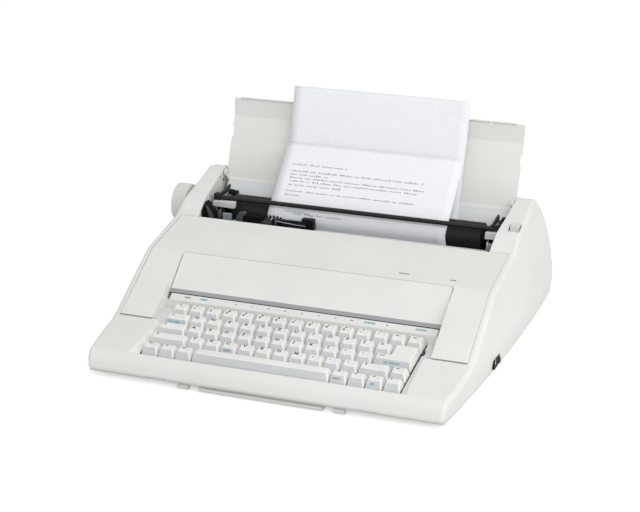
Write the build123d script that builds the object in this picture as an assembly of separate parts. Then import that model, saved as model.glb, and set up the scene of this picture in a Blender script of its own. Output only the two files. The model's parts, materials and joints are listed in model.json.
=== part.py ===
from build123d import *
import math
import os

# Sizes are in millimetres. X runs across the machine, Y from the front lip to the back wall and Z up.

# Case
case_bottom = 5.0
case_front_y = 0.0
nose_height = 10.0
face_top_y = 2.5
face_top_height = 21.0
lip_y = 9.5
lip_height = 27.7
seam_y = 78.5
seam_height = 37.2
brand_front_y = 162.4
brand_front_height = 86.4
opening_front_y = 241.0
opening_front_height = 100.4
ramp_top_y = 263.0
ramp_top_height = 114.7
cheek_middle_y = 303.0
cheek_middle_height = 124.0
cheek_rounding_reach = 7.22
cheek_back_y = 333.0
cheek_back_height = 133.3
back_shoulder_y = 344.0
back_shoulder_height = 131.5
back_bow_y = 385.5
back_bow_height = 91.5
back_foot_height = 34.0
back_bow_steps = 6
case_back_y = 398.0
toe_setback = 4.0
heel_setback = 3.0
wall = 3.0
foot_half_front = 186.7
foot_half_middle = 198.6
foot_half_back = 205.5
section_front_y = -5.0
section_middle_y = 130.0
section_back_y = 405.0
section_top = 150.0
waist_bulge = 3.2
waist_height = 28.0
waist_rounding = 30.0
side_lean = 0.136
rim_rounding = 5.0
opening_half_front = 169.0
opening_half_back = 176.0
opening_back_y = 341.5
inner_wall = 2.4
inner_wall_bottom = 66.0
reach = 230.0

# Base tray, feet and screws
pan_thickness = 2.5
pan_inset = 0.4
pan_rim = 2.0
pan_rim_inset = 3.8
pan_rim_height = 8.0
foot_radius = 9.0
foot_x = 160.0
foot_front_y = 34.0
foot_back_y = 366.0
screw_x = 180.0
screw_places_y = (45.0, 205.0, 360.0)
screw_head_radius = 3.4
screw_head_height = 1.8
screw_shank_radius = 1.5
screw_length = 8.0
screw_boss_height = 12.0
screw_boss_half = 5.0
catch_inner_x = 77.0
catch_outer_x = 89.0
catch_height = 3.6
catch_depth = 5.0
step_inner_x = 101.0
step_outer_x = 124.0

# Keyboard
key_pitch = 18.5
key_rows = 5
key_units = 15
keyboard_front_y = 21.4
keyboard_front_height = 23.6
keyboard_tilt = 9.6
key_gap = 1.1
key_skirt = -1.0
key_height = 9.2
key_side_slope = 2.3
key_top_back = 0.5
key_dish = 0.7
key_travel = 3.5
stem_half = 2.5
stem_length = 8.0
stem_clearance = 0.4
stabiliser_spread = 0.36
return_unit = 12.75
return_upper_unit = 13.5
tab_width = 1.5
lock_width = 1.75
shift_width = 2.25
right_shift_width = 1.75
space_unit = 3
space_width = 8
well_half = 139.8
well_bevel_half = 150.5
well_bevel_height = 8.0
well_front_gap = 0.6
frame_top = -5.0
frame_thickness = 1.6
frame_half = 151.6
frame_front_v = -2.0
frame_back_v = 96.0
frame_rail_front_v = 59.2
frame_rail_back_v = 94.0
board_drop = 8.0
board_thickness = 1.5
board_half = 134.0
label_half = 148.6
label_front_y = 114.6
label_front_height = 48.4
label_back_y = 121.8
label_back_height = 53.0
label_sheet = 2.2
frame_post_x = 145.0
board_post_x = 128.0
post_radius = 3.0

# Top cover with its panel
cover_half = 189.7
cover_gap = 0.4
cover_front_y = 79.6
cover_front_height = 39.7
cover_back_y = 240.4
cover_sheet = 2.5
cover_skirt = 8.0
cover_well_half = 152.5
cover_well_wall = 2.2
cover_edge_rounding = 1.2
panel_half = 151.4
panel_lip_y = 122.6
panel_lip_height = 53.4
panel_front_y = 126.5
panel_front_height = 56.2
panel_back_y = 161.6
panel_back_height = 85.9
panel_sheet = 2.4
panel_gap = 0.9
panel_corner = 3.0
hinge_y = 88.0
hinge_height = 37.2
hinge_pin_radius = 2.0
hinge_ear_x = 162.0
hinge_ear_width = 3.0
hinge_ear_radius = 3.8
hinge_post_width = 6.0
hinge_post_half = 3.4
hinge_side_gap = 0.4
cover_open_angle = 60.0

# Platen, paper feed and knob
running_fit = 0.05
end_play = 0.2
platen_y = 300.0
platen_height = 95.0
platen_radius = 16.5
platen_half = 147.6
platen_core_radius = 13.0
platen_web = 4.0
shaft_radius = 4.0
plate_x = 157.0
plate_thickness = 1.6
bush_radius = 7.0
bush_flange_radius = 9.5
bush_flange = 1.2
hub_radius = 11.5
hub_small_radius = 8.5
knob_radius = 22.3
knob_outer_x = 221.0
knob_inner_x = 203.4
knob_neck_x = 201.8
knob_neck_radius = 9.0
knob_grips = 24
knob_grip_depth = 0.4
gear_module = 1.0
platen_teeth = 30
idler_teeth = 30
pinion_teeth = 10
gear_inner_x = 163.2
gear_width = 4.4
gear_backlash = 0.25
tooth_above = 0.8
tooth_below = 1.1
tooth_root_share = 0.3
tooth_tip_from = 0.53
tooth_tip_to = 0.77
tooth_middle = 0.65
tooth_gap_middle = 0.15
idler_angle = -50.0
feed_radius = 5.0
feed_shaft_radius = 2.5
front_feed_angle = -115.0
back_feed_angle = -60.0
feed_segment = 34.0
feed_centres = (-96.0, -32.0, 32.0, 96.0)
feed_motor_radius = 17.5
feed_motor_length = 20.0
motor_shaft_radius = 2.0
guide_sheet = 1.4
chute_low_angle = -44.0
chute_half = 169.5
chute_wide_height = 109.0
chute_top_share = 0.18
front_guide_angles = (-150.0, -132.0)
plate_front_y = 206.0
plate_back_y = 340.0
plate_front_height = 60.0
plate_back_height = 64.0
plate_neck_y = 268.0
plate_brow = [(324.0, 104.0), (308.0, 108.0), (290.0, 108.0), (276.0, 98.0)]
plate_rounding = 5.0

# Paper
paper_thickness = 0.3
paper_clearance = 0.35
paper_width = 210.0
paper_length = 290.0
paper_centre_x = 7.0
paper_front_y = 338.0
paper_front_height = 169.0
paper_leave_angle = 20.0
paper_back_turn = 3.0
guide_gap = 1.2

# Paper bail
bail_bar_y = 281.8
bail_bar_height = 112.5
bail_bar_radius = 2.6
bail_bar_half = 167.0
bail_pivot_y = 286.0
bail_pivot_height = 86.0
bail_pivot_radius = 3.0
bail_arm_x = 159.4
bail_arm_thickness = 2.2
bail_horn_y = 313.0
bail_horn_height = 117.0
bail_open_angle = 40.0

# Paper support, the lid behind the platen
lid_hinge_y = 331.0
lid_hinge_height = 127.0
lid_half = 174.0
lid_sheet = 2.0
lid_lift = 0.6
lid_front_y = 245.5
lid_front_height = 104.2
lid_back_y = 336.5
lid_open_angle = 126.0
lid_ear_x = 170.5
lid_ear_width = 3.0
lid_ear_radius = 4.4
lid_pin_radius = 2.0
lid_lip_half = 165.0
lid_lip = 3.0
lid_notch_x = 135.0
lid_notch_width = 1.4
lid_notch_depth = 3.5
lid_side_notch_half = 6.0
lid_side_notch_depth = 1.6

# Carriage
carriage_x = -93.0
carriage_half = 38.0
carriage_low_x = -112.0
carriage_high_x = 103.0
guide_y = 252.0
guide_height = 38.0
guide_radius = 5.0
carriage_boss_radius = 9.0
rail_front_y = 212.0
rail_thickness = 4.0
rail_bottom = 36.0
rail_top = 48.0
rail_play = 0.3
jaw_thickness = 2.1
jaw_drop = 10.0
deck_front_y = 207.5
deck_back_y = 275.0
deck_height = 50.0
deck_thickness = 3.0
back_plate_y = 272.0
back_plate_half = 41.0
back_plate_top = 97.0
shelf_height = 76.5
shelf_thickness = 2.0
shelf_half = 34.0
wheel_front_y = 280.0
wheel_thickness = 1.0
wheel_height = 64.0
wheel_radius = 34.0
wheel_hub_radius = 11.0
wheel_boss_radius = 5.0
wheel_petals = 48
petal_width = 1.1
slug_width = 2.2
slug_length = 4.0
wheel_shaft_radius = 1.5
wheel_motor_radius = 10.5
wheel_motor_length = 22.0
hammer_height = 95.0
hammer_radius = 2.0
hammer_front_y = 258.0
hammer_tip_y = 276.9
hammer_travel = 2.6
coil_radius = 5.5
coil_front_y = 246.0
coil_back_y = 262.0
cassette_half = 40.0
cassette_front_y = 208.0
cassette_back_y = 242.0
cassette_height = 11.5
cassette_rounding = 6.0
cassette_arm_inner = 10.0
cassette_arm_outer = 24.0
cassette_arm_height = 8.0
spool_radius = 9.0
spool_height = 8.0
spool_gap = 0.3
spool_pin_radius = 1.5
spool_x = 22.0
spool_y = 258.0
card_front_y = 281.4
card_thickness = 0.8
card_left = -20.0
card_right = 52.0
card_bottom = 84.0
card_top = 106.0
card_rounding = 18.0
card_foot_left = 36.0
card_foot_right = 50.0
card_foot_bottom = 88.0
card_foot_top = 100.0
belt_y = 231.0
belt_bottom = 30.0
belt_width = 5.0
belt_thickness = 1.2
pulley_x = 136.0
pulley_radius = 7.0
pulley_flange = 1.5
pulley_flange_height = 1.0
carriage_motor_radius = 17.5
carriage_motor_top = 26.0
clamp_half = 6.0
clamp_thickness = 2.2

# Electrics
main_board_half = 120.0
main_board_front_y = 130.0
main_board_back_y = 196.0
main_board_height = 14.0
main_board_post_x = 112.0
transformer_x = 122.0
transformer_half = 26.0
transformer_front_y = 350.0
transformer_back_y = 386.0
transformer_height = 42.0
switch_y = 152.5
switch_height = 13.5
switch_length = 21.0
switch_depth = 9.6
switch_wall = 0.6
switch_inner_x = 178.0
switch_outer_x = 203.2
switch_clearance = 0.4
switch_pocket_x = 197.4
rocker_half = 7.8
rocker_depth_half = 3.2
rocker_gap = 0.5
rocker_back = 0.4
rocker_hollow = 1.2
rocker_axis_x = 200.8
rocker_pin_radius = 1.2
rocker_rise = 3.2
rocker_tilt = 8.0
gland_x = -120.0
gland_height = 24.5
gland_radius = 6.0
gland_flange_radius = 8.5
gland_flange = 1.4
gland_seat = 5.0
gland_seat_radius = 11.0
gland_bore = 3.6

# Paper release lever
release_x = 187.0
release_half = 5.0
release_slot_half = 6.5
release_slot_front_y = 268.5
release_slot_back_y = 286.0
release_pivot_y = 279.0
release_pivot_height = 98.0
release_pin_radius = 2.0
release_thickness = 8.0
release_top_height = 121.0
release_top_y = 281.5
release_angle = 20.0
release_lug_bottom = 93.0
release_lug_top = 103.0
release_lug_half = 6.0
release_side_play = 0.5
release_pin_reach = 3.0
release_slot_bottom = 106.0

# Carrying handle
handle_half = 66.0
handle_front_y = 0.6
handle_bar_depth = 13.0
handle_rail_width = 9.0
handle_back_y = 84.0
handle_bottom = 1.6
handle_top = 4.6
handle_travel = 45.0
handle_guide_gap = 0.4
handle_guide_wall = 3.0
handle_guide_lip = 0.9
handle_guide_front_y = 18.0
handle_guide_back_y = 66.0

# Places that follow from the sizes above
tilt = math.radians(keyboard_tilt)
keyboard_half = key_units * key_pitch / 2
keyboard_depth = key_rows * key_pitch
board_top = frame_top - board_drop
floor_top = case_bottom + pan_thickness
shell_x = opening_half_back + inner_wall
plate_outer_x = plate_x + plate_thickness
gear_outer_x = gear_inner_x + gear_width
hinge_post_x = hinge_ear_x + hinge_ear_width + hinge_side_gap
deck_top = deck_height + deck_thickness
shelf_top = shelf_height + shelf_thickness
paper_radius = platen_radius + paper_clearance + paper_thickness / 2
rail_back_y = rail_front_y + rail_thickness


def polar(y, z, radius, degrees):
    """A point at a distance and an angle from (y, z), counted up from the back."""
    angle = math.radians(degrees)
    return (y + radius * math.cos(angle), z + radius * math.sin(angle))


gear_distance = gear_module * (platen_teeth + idler_teeth) / 2 + gear_backlash
pinion_distance = gear_module * (idler_teeth + pinion_teeth) / 2 + gear_backlash
idler_y, idler_height = polar(platen_y, platen_height, gear_distance, idler_angle)
pinion_y, pinion_height = polar(idler_y, idler_height, pinion_distance, -90.0)
feed_distance = platen_radius + 2 * paper_clearance + paper_thickness + feed_radius
front_feed = polar(platen_y, platen_height, feed_distance, front_feed_angle)
back_feed = polar(platen_y, platen_height, feed_distance, back_feed_angle)


def block(x_from, x_to, y_from, y_to, z_from, z_to):
    """A box between two corners."""
    size = Box(x_to - x_from, y_to - y_from, z_to - z_from, align=(Align.MIN, Align.MIN, Align.MIN))
    return Pos(x_from, y_from, z_from) * size


def bar(outline, x_from, x_to):
    """An outline in Y and Z, drawn out along X."""
    return extrude(Plane.YZ.offset(x_from) * outline, amount=x_to - x_from)


def polygon(points):
    """A flat face with straight sides."""
    return make_face(Polyline(*points, close=True))


def strip(points, x_from, x_to):
    """A polygon in Y and Z, drawn out along X."""
    return bar(polygon(points), x_from, x_to)


def rod(y, z, radius, x_from, x_to):
    """A round bar along X."""
    return bar(Pos(y, z) * Circle(radius), x_from, x_to)


def tube(y, z, radius, bore, x_from, x_to):
    """A round bar along X with a hole through it."""
    return bar(Pos(y, z) * (Circle(radius) - Circle(bore)), x_from, x_to)


def post(x, y, radius, z_from, z_to):
    """A round bar that stands up."""
    return Pos(x, y, z_from) * extrude(Circle(radius), amount=z_to - z_from)


def spindle(x, z, radius, y_from, y_to):
    """A round bar that runs from front to back."""
    start = Plane(origin=(x, y_from, z), x_dir=(1, 0, 0), z_dir=(0, 1, 0))
    return extrude(start * Circle(radius), amount=y_to - y_from)


def mirrored(solid):
    """The same solid on the other side of the machine."""
    return mirror(solid, about=Plane.YZ)


def both_sides(solid):
    """The solid and its mirror image."""
    return [solid, mirrored(solid)]


def band(lines, thickness, side):
    """A sheet of even thickness on one side of an open line in Y and Z."""
    return make_face(offset(lines, amount=thickness, side=side, closed=True))


def keyboard_plane():
    """The keyboard's own plane: across, back along the keys, and square to it."""
    upright = (0, -math.sin(tilt), math.cos(tilt))
    return Plane(origin=(0, keyboard_front_y, keyboard_front_height), x_dir=(1, 0, 0), z_dir=upright)


def keyboard_block(u_from, u_to, v_from, v_to, w_from, w_to):
    """A box in the keyboard's own plane."""
    return keyboard_plane() * block(u_from, u_to, v_from, v_to, w_from, w_to)


def keyboard_point(v, w):
    """The Y and Z of a place in the keyboard's own plane."""
    y = keyboard_front_y + v * math.cos(tilt) - w * math.sin(tilt)
    z = keyboard_front_height + v * math.sin(tilt) + w * math.cos(tilt)
    return (y, z)


# Case
def case_section(y, foot_half, inset):
    """The case cut across at one depth: it swells to the waist and leans in above it."""
    waist_half = foot_half + waist_bulge
    top_half = waist_half - (section_top - waist_height) * side_lean
    right = [(foot_half - inset, 0), (waist_half - inset, waist_height), (top_half - inset, section_top)]
    left = [(-x, z) for x, z in reversed(right)]
    face = polygon(right + left)
    waist = [v for v in face.vertices() if abs(v.Y - waist_height) < 0.01]
    face = fillet(waist, radius=waist_rounding)
    return Plane(origin=(0, y, 0), x_dir=(1, 0, 0), z_dir=(0, -1, 0)) * face


def case_sides(inset):
    """The flared plan and the leaning sides, all the way up."""
    sections = [
        case_section(section_front_y, foot_half_front, inset),
        case_section(section_middle_y, foot_half_middle, inset),
        case_section(section_back_y, foot_half_back, inset),
    ]
    return loft(sections)


def cheek_rounding():
    """The radius of the blunt corner half-way up the cheek, from how far its rounding reaches."""
    before = math.atan2(cheek_middle_height - ramp_top_height, cheek_middle_y - ramp_top_y)
    after = math.atan2(cheek_back_height - cheek_middle_height, cheek_back_y - cheek_middle_y)
    return cheek_rounding_reach / math.tan(abs(after - before) / 2)


def case_outline(inset):
    """The case seen from the side, with each corner rounded."""
    corners = [
        ((case_front_y, nose_height), 5),
        ((face_top_y, face_top_height), 12),
        ((lip_y, lip_height), 7),
        ((seam_y, seam_height), 60),
        ((brand_front_y, brand_front_height), 25),
        ((opening_front_y, opening_front_height), 25),
        ((ramp_top_y, ramp_top_height), 40),
        ((cheek_middle_y, cheek_middle_height), cheek_rounding()),
        ((cheek_back_y, cheek_back_height), 10),
        ((back_shoulder_y, back_shoulder_height), 6),
    ]
    drop = inset + 1 if inset else 0
    toe = (case_front_y + toe_setback * (1 + drop / (nose_height - case_bottom)), case_bottom - drop)
    heel = (case_back_y - heel_setback * (1 + drop / (back_foot_height - case_bottom)), case_bottom - drop)
    top = Polyline(toe, *[place for place, rounding in corners])
    back = ThreePointArc(corners[-1][0], (back_bow_y, back_bow_height), (case_back_y, back_foot_height))
    foot = Polyline((case_back_y, back_foot_height), heel, toe)
    if inset:
        bow = [back @ (i / back_bow_steps) for i in range(1, back_bow_steps)]
        corners_inside = [toe, *[place for place, rounding in corners], *[(v.X, v.Y) for v in bow]]
        corners_inside += [(case_back_y, back_foot_height), heel]
        return offset(polygon(corners_inside), amount=-inset, kind=Kind.INTERSECTION)
    face = make_face([top, back, foot])
    for place, rounding in corners:
        corner = [v for v in face.vertices() if math.dist((v.X, v.Y), place) < 0.05]
        face = fillet(corner, radius=rounding)
    return face


def rim_edges(form):
    """The long edges where the sides meet the top, front and back."""
    side_faces = [f for f in form.faces() if abs(f.normal_at().X) > 0.8]
    end_faces = [f for f in form.faces() if abs(f.normal_at().X) < 0.05 and f.normal_at().Z > -0.9]
    side_edges = [e for f in side_faces for e in f.edges()]
    return [e for f in end_faces for e in f.edges() if e in side_edges]


def case_form():
    """The whole outside of the case, with its rounded rims."""
    form = case_sides(0) & bar(case_outline(0), -reach, reach)
    return fillet(rim_edges(form), radius=rim_rounding)


def case_room(inset):
    """The case's form drawn in on all sides."""
    return case_sides(inset) & bar(case_outline(inset), -reach, reach)


def level(z_from, z_to):
    """Everything between two heights."""
    return block(-reach, reach, -reach, 2 * reach, z_from, z_to)


def keyboard_well(grow):
    """The sunk place around the keys: a floor in the keyboard's plane and bevelled sides."""
    depth = keyboard_depth + 40
    low = Rectangle(2 * (well_half + grow), depth + 2 * grow)
    high = Rectangle(2 * (well_bevel_half + grow), depth + 2 * grow + 24)
    middle = depth / 2 - well_front_gap
    base = keyboard_plane() * Pos(0, middle, -grow) * low
    top = keyboard_plane() * Pos(0, middle, well_bevel_height) * high
    return loft([base, top], ruled=True)


def opening_plan(grow, front_y, back_y):
    """The platen opening seen from above, a little wider at the back."""
    spread = (opening_half_back - opening_half_front) / (opening_back_y - opening_front_y)
    front_half = opening_half_front + (front_y - opening_front_y) * spread + grow
    back_half = opening_half_front + (back_y - opening_front_y) * spread + grow
    return polygon([(front_half, front_y), (back_half, back_y), (-back_half, back_y), (-front_half, front_y)])


def switch_room(grow):
    """The hole for the power switch in the right side."""
    return block(
        switch_inner_x - grow, reach,
        switch_y - switch_length / 2 - grow, switch_y + switch_length / 2 + grow,
        switch_height - switch_depth / 2 - grow, switch_height + switch_depth / 2 + grow,
    )


def upper_case():
    """The main moulding: front lip, palm rests, sides, cheeks and back."""
    outside = case_form()
    shell = outside - (case_room(wall) - keyboard_well(wall)) - keyboard_well(0)
    shell -= keyboard_block(-well_half, well_half, -well_front_gap, keyboard_depth + 30, -20, 30)
    cover_side = cover_half + cover_gap
    shell -= block(-cover_side, cover_side, seam_y, opening_front_y, 18, section_top)
    above_wall_foot = level(inner_wall_bottom, section_top)
    opening = extrude(opening_plan(0, opening_front_y - 5, opening_back_y), amount=section_top)
    shell -= opening & above_wall_foot
    outer_plan = opening_plan(inner_wall, opening_front_y, opening_back_y + inner_wall)
    inner_plan = opening_plan(0, opening_front_y - 1, opening_back_y)
    shell += extrude(outer_plan - inner_plan, amount=section_top) & outside & above_wall_foot
    for side in (-1, 1):
        for y in screw_places_y:
            boss = block(-8, 30, -screw_boss_half, screw_boss_half, floor_top, floor_top + screw_boss_height)
            boss = Pos(side * screw_x, y, 0) * (boss if side > 0 else mirrored(boss))
            shell += boss & outside
            shell -= post(side * screw_x, y, screw_shank_radius + running_fit, 0, case_bottom + screw_length)
    lug_front_y = release_pivot_y - release_lug_half
    lug_back_y = release_pivot_y + release_lug_half
    lever_side = release_half + release_side_play
    lugs = block(opening_half_back - wall, reach, lug_front_y, lug_back_y, release_lug_bottom, release_lug_top)
    lugs -= block(release_x - lever_side, release_x + lever_side, lug_front_y, lug_back_y, 0, section_top)
    shell += lugs & outside
    release_hole_half = release_half + release_pin_reach + end_play
    shell -= rod(
        release_pivot_y, release_pivot_height, release_pin_radius + running_fit,
        release_x - release_hole_half, release_x + release_hole_half,
    )
    shell &= level(floor_top, section_top)
    shell -= rod(platen_y, platen_height, shaft_radius + 1.5, -reach, -opening_half_front)
    shell -= rod(lid_hinge_y, lid_hinge_height, lid_pin_radius + running_fit, -shell_x, shell_x)
    shell -= switch_room(switch_clearance)
    shell -= block(
        release_x - release_slot_half, release_x + release_slot_half,
        release_slot_front_y, release_slot_back_y, release_slot_bottom, section_top,
    )
    for side in (-1, 1):
        x_low, x_high = sorted((side * step_inner_x, side * step_outer_x))
        shell -= block(x_low, x_high, -5, 4, 0, floor_top + 2)
    shell += spindle(gland_x, gland_height, gland_seat_radius, case_back_y - gland_seat, case_back_y)
    return shell - spindle(gland_x, gland_height, gland_radius + running_fit, case_back_y - 20, case_back_y + 5)


def column(x, v, w):
    """A post from the floor up to a plane square to the keyboard's own."""
    y, z = keyboard_point(v, w)
    tall = post(x, y, post_radius, floor_top, z + 4)
    return tall - keyboard_block(x - 9, x + 9, v - 9, v + 9, w, w + 20)


def floor_plan(inset, z_from, z_to):
    """The case's footprint, drawn in on all sides, between two heights."""
    front_y = case_front_y + toe_setback + inset
    back_y = case_back_y - heel_setback - inset
    return case_sides(inset) & block(-reach, reach, front_y, back_y, z_from, z_to)


def base_shell():
    """The tray under the machine, with the posts that carry what is inside."""
    tray = floor_plan(pan_inset, case_bottom, floor_top)
    rim = floor_plan(pan_rim_inset, floor_top, floor_top + pan_rim_height)
    rim -= floor_plan(pan_rim_inset + pan_rim, floor_top - 1, floor_top + pan_rim_height + 1)
    rim -= switch_room(1.0)
    for side in (-1, 1):
        for y in screw_places_y:
            rim -= block(side * screw_x - 40, side * screw_x + 40, y - 6, y + 6, 0, 60)
            tray -= post(side * screw_x, y, screw_shank_radius + running_fit, 0, floor_top + 1)
    tray += rim
    hinge_post = block(
        hinge_post_x, hinge_post_x + hinge_post_width,
        hinge_y - hinge_post_half, hinge_y + hinge_post_half,
        floor_top, hinge_height + hinge_post_half,
    )
    rounded = [e for e in hinge_post.edges().filter_by(Axis.X) if e.center().Z > hinge_height]
    hinge_post = fillet(rounded, radius=hinge_post_half - 0.1)
    for solid in both_sides(hinge_post):
        tray += solid
    tray -= rod(hinge_y, hinge_height, hinge_pin_radius + running_fit, -reach, reach)
    for x in (-frame_post_x, frame_post_x):
        tray += column(x, 5, frame_top - frame_thickness)
        tray += column(x, keyboard_depth - 5, frame_top - frame_thickness)
    for x in (-board_post_x, 0, board_post_x):
        tray += column(x, 8, board_top - board_thickness)
        tray += column(x, keyboard_depth - 8, board_top - board_thickness)
    for x in (-main_board_post_x, main_board_post_x):
        for y in (main_board_front_y + 6, main_board_back_y - 6):
            tray += post(x, y, post_radius, floor_top, main_board_height)
    tray += post(-pulley_x, belt_y, post_radius + 2, floor_top, belt_bottom - pulley_flange_height - 0.3)
    tray += post(-pulley_x, belt_y, motor_shaft_radius, floor_top, belt_bottom + belt_width + 3)
    for solid in both_sides(handle_guide()):
        tray += solid
    catch = block(catch_inner_x, catch_outer_x, 1.5, 1.5 + catch_depth, case_bottom - catch_height, case_bottom)
    catch += block(catch_inner_x, catch_outer_x, 4.5, 1.5 + catch_depth, case_bottom, floor_top)
    for solid in both_sides(catch):
        tray += solid
    return tray


def handle_guide():
    """The right-hand runner that carries the handle under the tray."""
    inner_x = handle_half + handle_guide_gap
    lip_bottom = handle_bottom - handle_guide_lip - 0.3
    wall_part = block(
        inner_x, inner_x + handle_guide_wall, handle_guide_front_y, handle_guide_back_y, lip_bottom, case_bottom
    )
    lip_part = block(
        handle_half - 4, inner_x + handle_guide_wall, handle_guide_front_y, handle_guide_back_y,
        lip_bottom, lip_bottom + handle_guide_lip,
    )
    return wall_part + lip_part


def carrying_handle():
    """A flat loop that slides out from under the front."""
    outer = block(-handle_half, handle_half, handle_front_y, handle_back_y, handle_bottom, handle_top)
    inner_half = handle_half - handle_rail_width
    window = block(
        -inner_half, inner_half,
        handle_front_y + handle_bar_depth, handle_back_y - handle_rail_width, 0, case_bottom,
    )
    loop = outer - window
    front = loop.edges().filter_by(Axis.X).sort_by(Axis.Y)[:2]
    return fillet(front, radius=1.3)


def rubber_feet():
    """Four round feet."""
    places = [(x, y) for x in (-foot_x, foot_x) for y in (foot_front_y, foot_back_y)]
    profile = polygon([(0, 0), (foot_radius - 1.2, 0), (foot_radius, 1.4), (foot_radius, case_bottom), (0, case_bottom)])
    foot = revolve(Plane.XZ * profile, axis=Axis.Z)
    return [Pos(x, y, 0) * foot for x, y in places]


def case_screws():
    """Six screws that hold the tray to the upper case."""
    screws = []
    for side in (-1, 1):
        for y in screw_places_y:
            x = side * screw_x
            head = post(x, y, screw_head_radius, case_bottom - screw_head_height, case_bottom)
            screws.append(head + post(x, y, screw_shank_radius, case_bottom, case_bottom + screw_length))
    return screws


# Keyboard
def row_v(row):
    """The middle of a row of keys, counted from the back."""
    return keyboard_depth - (row + 0.5) * key_pitch


def key_u(unit):
    """How far across a key position is, in key widths from the left."""
    return -keyboard_half + unit * key_pitch


def stems(unit, width, row):
    """The stem under a key, and two more under a wide one."""
    centre = key_u(unit + width / 2)
    spread = width * key_pitch * stabiliser_spread
    places = [centre] if width < 2 else [centre - spread, centre, centre + spread]
    return [(u, row_v(row)) for u in places]


def stem_solids(places):
    """The stems at their places, standing down through the frame."""
    low = key_skirt - stem_length
    solids = [
        block(u - stem_half, u + stem_half, v - stem_half, v + stem_half, low, key_skirt) for u, v in places
    ]
    return solids


def key_body(low_outline, high_outline):
    """A keycap that draws in from its skirt to its top."""
    skirt = Pos(0, 0, key_skirt) * polygon(low_outline)
    crown = Pos(0, 0, key_skirt + key_height) * polygon(high_outline)
    return loft([skirt, crown], ruled=True)


def key_outline(u_from, u_to, v_from, v_to, draw_in, back):
    """A keycap's outline at one height."""
    return [
        (u_from + draw_in, v_from + draw_in + back),
        (u_to - draw_in, v_from + draw_in + back),
        (u_to - draw_in, v_to - draw_in + back),
        (u_from + draw_in, v_to - draw_in + back),
    ]


def dished(cap, u_from, u_to):
    """The cap with a shallow hollow across its top."""
    half = (u_to - u_from) / 2 - key_side_slope
    radius = (half ** 2 + key_dish ** 2) / (2 * key_dish)
    top = key_skirt + key_height
    centre = ((u_from + u_to) / 2, top + radius - key_dish)
    hollow = Plane.XZ.offset(-2 * reach) * Pos(*centre) * Circle(radius)
    return cap - extrude(hollow, amount=4 * reach)


def key(unit, width, row):
    """One key in its place, with its stems."""
    u_from = key_u(unit) + key_gap / 2
    u_to = key_u(unit + width) - key_gap / 2
    v_from = row_v(row) - key_pitch / 2 + key_gap / 2
    v_to = row_v(row) + key_pitch / 2 - key_gap / 2
    low = key_outline(u_from, u_to, v_from, v_to, 0, 0)
    high = key_outline(u_from, u_to, v_from, v_to, key_side_slope, key_top_back)
    cap = key_body(low, high)
    if width < 3:
        cap = dished(cap, u_from, u_to)
    for solid in stem_solids(stems(unit, width, row)):
        cap += solid
    return keyboard_plane() * cap


def return_outline(draw_in, back):
    """The return key: wide in its own row and narrower in the row behind."""
    wide_u = key_u(return_unit) + key_gap / 2 + draw_in
    narrow_u = key_u(return_upper_unit) + key_gap / 2 + draw_in
    right_u = key_u(key_units) - key_gap / 2 - draw_in
    front_v = row_v(2) - key_pitch / 2 + key_gap / 2 + draw_in + back
    step_v = row_v(2) + key_pitch / 2 - key_gap / 2 - draw_in + back
    back_v = row_v(1) + key_pitch / 2 - key_gap / 2 - draw_in + back
    return [
        (wide_u, front_v), (right_u, front_v), (right_u, back_v),
        (narrow_u, back_v), (narrow_u, step_v), (wide_u, step_v),
    ]


def return_key():
    """The tall return key."""
    cap = key_body(return_outline(0, 0), return_outline(key_side_slope, key_top_back))
    for solid in stem_solids(return_stems()):
        cap += solid
    return keyboard_plane() * cap


def return_stems():
    """Two stems under the return key, one in each row."""
    u = key_u(key_units - 0.75)
    return [(u, row_v(1)), (u, row_v(2))]


# Each key as the width positions it starts at, its width and its row
key_groups = {
    "number_keys": [(unit, 1, 0) for unit in range(1, 13)],
    "upper_letter_keys": [(tab_width + unit, 1, 1) for unit in range(12)],
    "middle_letter_keys": [(lock_width + unit, 1, 2) for unit in range(11)],
    "lower_letter_keys": [(shift_width + unit, 1, 3) for unit in range(10)],
    "left_function_keys": [(0, 1, 0), (0, 1, 4), (1, 1, 4), (2, 1, 4)],
    "right_function_keys": [(13, 1, 0), (14, 1, 0), (14, 1, 3)] + [(unit, 1, 4) for unit in range(11, 15)],
    "tab_key": [(0, tab_width, 1)],
    "shift_lock_key": [(0, lock_width, 2)],
    "left_shift_key": [(0, shift_width, 3)],
    "right_shift_key": [(shift_width + 10, right_shift_width, 3)],
    "space_bar": [(space_unit, space_width, 4)],
}


def keyboard_frame():
    """The plate that guides the key stems, its side rails and the label strip behind the keys."""
    frame = keyboard_block(
        -frame_half, frame_half, frame_front_v, frame_back_v, frame_top - frame_thickness, frame_top
    )
    rail = keyboard_block(
        keyboard_half + 1.4, frame_half, frame_rail_front_v, frame_rail_back_v, frame_top, 0
    )
    for solid in both_sides(rail):
        frame += solid
    foot = keyboard_point(frame_rail_back_v, frame_top - frame_thickness / 2)[1]
    ledge = [
        (label_front_y, label_front_height),
        (label_back_y, label_back_height),
        (label_back_y, label_back_height - label_sheet),
        (label_front_y + label_sheet, label_front_height - label_sheet / 2),
        (label_front_y + label_sheet, foot),
        (label_front_y, foot),
    ]
    frame += strip(ledge, -label_half, label_half)
    half = stem_half + stem_clearance
    places = return_stems()
    for group in key_groups.values():
        for unit, width, row in group:
            places += stems(unit, width, row)
    for u, v in places:
        frame -= keyboard_block(u - half, u + half, v - half, v + half, frame_top - 3, frame_top + 1)
    return frame


def keyboard_board():
    """The circuit board under the keys."""
    return keyboard_block(-board_half, board_half, 3, keyboard_depth - 3, board_top - board_thickness, board_top)


# Top cover
def cover_line():
    """The line along the top of the cover."""
    slope = (opening_front_height - brand_front_height) / (opening_front_y - brand_front_y)
    back_height = brand_front_height + slope * (cover_back_y - brand_front_y)
    return [(cover_front_y, cover_front_height), (brand_front_y, brand_front_height), (cover_back_y, back_height)]


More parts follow.
